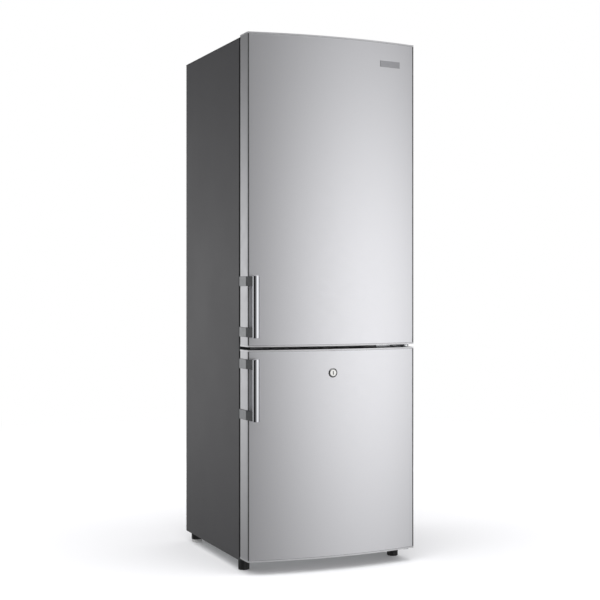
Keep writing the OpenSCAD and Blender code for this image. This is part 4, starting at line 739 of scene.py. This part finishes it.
# Painted shade: a darker copy of the satin nickel, for the shadow on the bracket's arm
bracket_arm_painted_shade, tree, shader = new_material("satin nickel with painted shade", "#47484a", 0.4, 0.85)
mottled(tree, shader, "#4a4b4d", "#424345", 14)
roughened(tree, shader, 0.36, 0.46, 10)
PLATE_PROUD, BRACKET_H, BRACKET_IN, BRACKET_ARM = 3.5, 31.0, 2.0, 5.0
ARM_T, ARM_SHORT = 5.0, 6.0
BRACKET_RADII = (0, 1.5, 8, 0.6, 0.6, 0.8, 2, 0, 0)
BAR_SIDE, FOLD_Y = 7.0, DOOR_CORNER_Y + 7
for door, body in (("upper", "fridge_door"), ("lower", "freezer_door")):
    low, high = span(door + "_handle_bar")
    middle, half = (low[0] + high[0]) / 2, (high[0] - low[0]) / 2
    x = np.linspace(-half, half, 33)
    front_line = np.stack([middle + x, bow(x, low[1], high[1] - BAR_SIDE, half)], 1)
    section = np.vstack([[(low[0], high[1])], front_line, [(high[0], high[1])]])
    rounding = np.zeros(len(section))
    rounding[[0, -1]], rounding[[1, -2]] = 0.6, 0.8
    prism(door + "_handle_bar_bowed", [filleted(section, rounding, 5)], low[2], high[2], chrome, body,
          [door + "_handle_bar"], 0.6)
    back = high[1]
    bracket = filleted([
        (-HALF_W, trim_back), (-HALF_W - PLATE_PROUD, trim_back), (-HALF_W - PLATE_PROUD, FOLD_Y),
        (low[0] - 0.5, back), (high[0] - ARM_SHORT, back), (high[0] - ARM_SHORT, back + ARM_T),
        (low[0] + BRACKET_ARM, back + ARM_T), (-HALF_W + 1.5, DOOR_CORNER_Y - 1),
        (-HALF_W, DOOR_CORNER_Y - 1)], BRACKET_RADII, 5)
    for z, name, stands_for in ((low[2] + BRACKET_IN, "_bracket_below", [door + "_handle_brackets"]),
                                (high[2] - BRACKET_IN - BRACKET_H, "_bracket_above", ())):
        piece = prism(door + name, [bracket], z, z + BRACKET_H, bracket_metal, body, stands_for, 0.9)
        # The arm's faces forward of the fold take the darker colour, which is painted shade
        piece.data.materials.append(bracket_arm_painted_shade)
        for face in piece.data.polygons:
            face.material_index = int(face.center.y < FRONT_Y + (FOLD_Y - 1) * MM)

# Door shelves and flap: frosted polystyrene. The shelves are troughs that hang between the ridges of
# the fridge door's liner, and the flap turns over the top one.
softened("door_shelves", frosted, 1.0)
softened("dairy_flap", frosted, 0.8)

# Lock: a turned case in black nickel, a plug in bright nickel with a black insert of painted shade in its
# keyway, for the shadow in the slot, and a zinc plated tongue on the plug's end behind the door.
nickel, tree, shader = new_material("nickel plate", "#cfcfcd", 0.14, 1.0)
roughened(tree, shader, 0.1, 0.2, 6)
dark_nickel, tree, shader = new_material("black nickel plate", "#6f6f70", 0.2, 1.0)
roughened(tree, shader, 0.16, 0.26, 6)
BEZEL_R, BEZEL_T, RIM_W, TUBE_R, BORE_R = 15.5, 2.0, 3.2, 13.0, 10.55
low, high = span("lock_case")
face, seat = low[1], low[1] + BEZEL_T
bezel = [(BORE_R, face + 0.3), (BORE_R + 0.3, face), (BEZEL_R - RIM_W, face), (BEZEL_R - 0.3, seat - 0.4),
         (BEZEL_R, seat), (TUBE_R, seat), (TUBE_R, high[1]), (BORE_R, high[1])]
vertices, faces = turned(bezel, ((low[0] + high[0]) / 2, 0, (low[2] + high[2]) / 2), "y")
finished("lock_case_turned", vertices, faces, dark_nickel, "freezer_door", ["lock_case"], 0, 20)
softened("lock_plug", nickel, 0.3)
SHADE_W, SHADE_H, SHADE_DEEP, SHADE_T = 2.9, 11.9, 0.5, 1.2
low, high = span("lock_plug")
slit = np.array([(-1, -1), (1, -1), (1, 1), (-1, 1)]) * (SHADE_W / 2, SHADE_H / 2)
slit += ((low[0] + high[0]) / 2, (low[2] + high[2]) / 2)
# A black strip in the keyway: painted shade
keyway_shade = prism("lock_keyway_shade", [slit], low[1] + SHADE_DEEP, low[1] + SHADE_DEEP + SHADE_T,
                black_plastic, BODY_OF["lock_plug"], axis="y")
softened("lock_cam", plated_steel, 0.5)
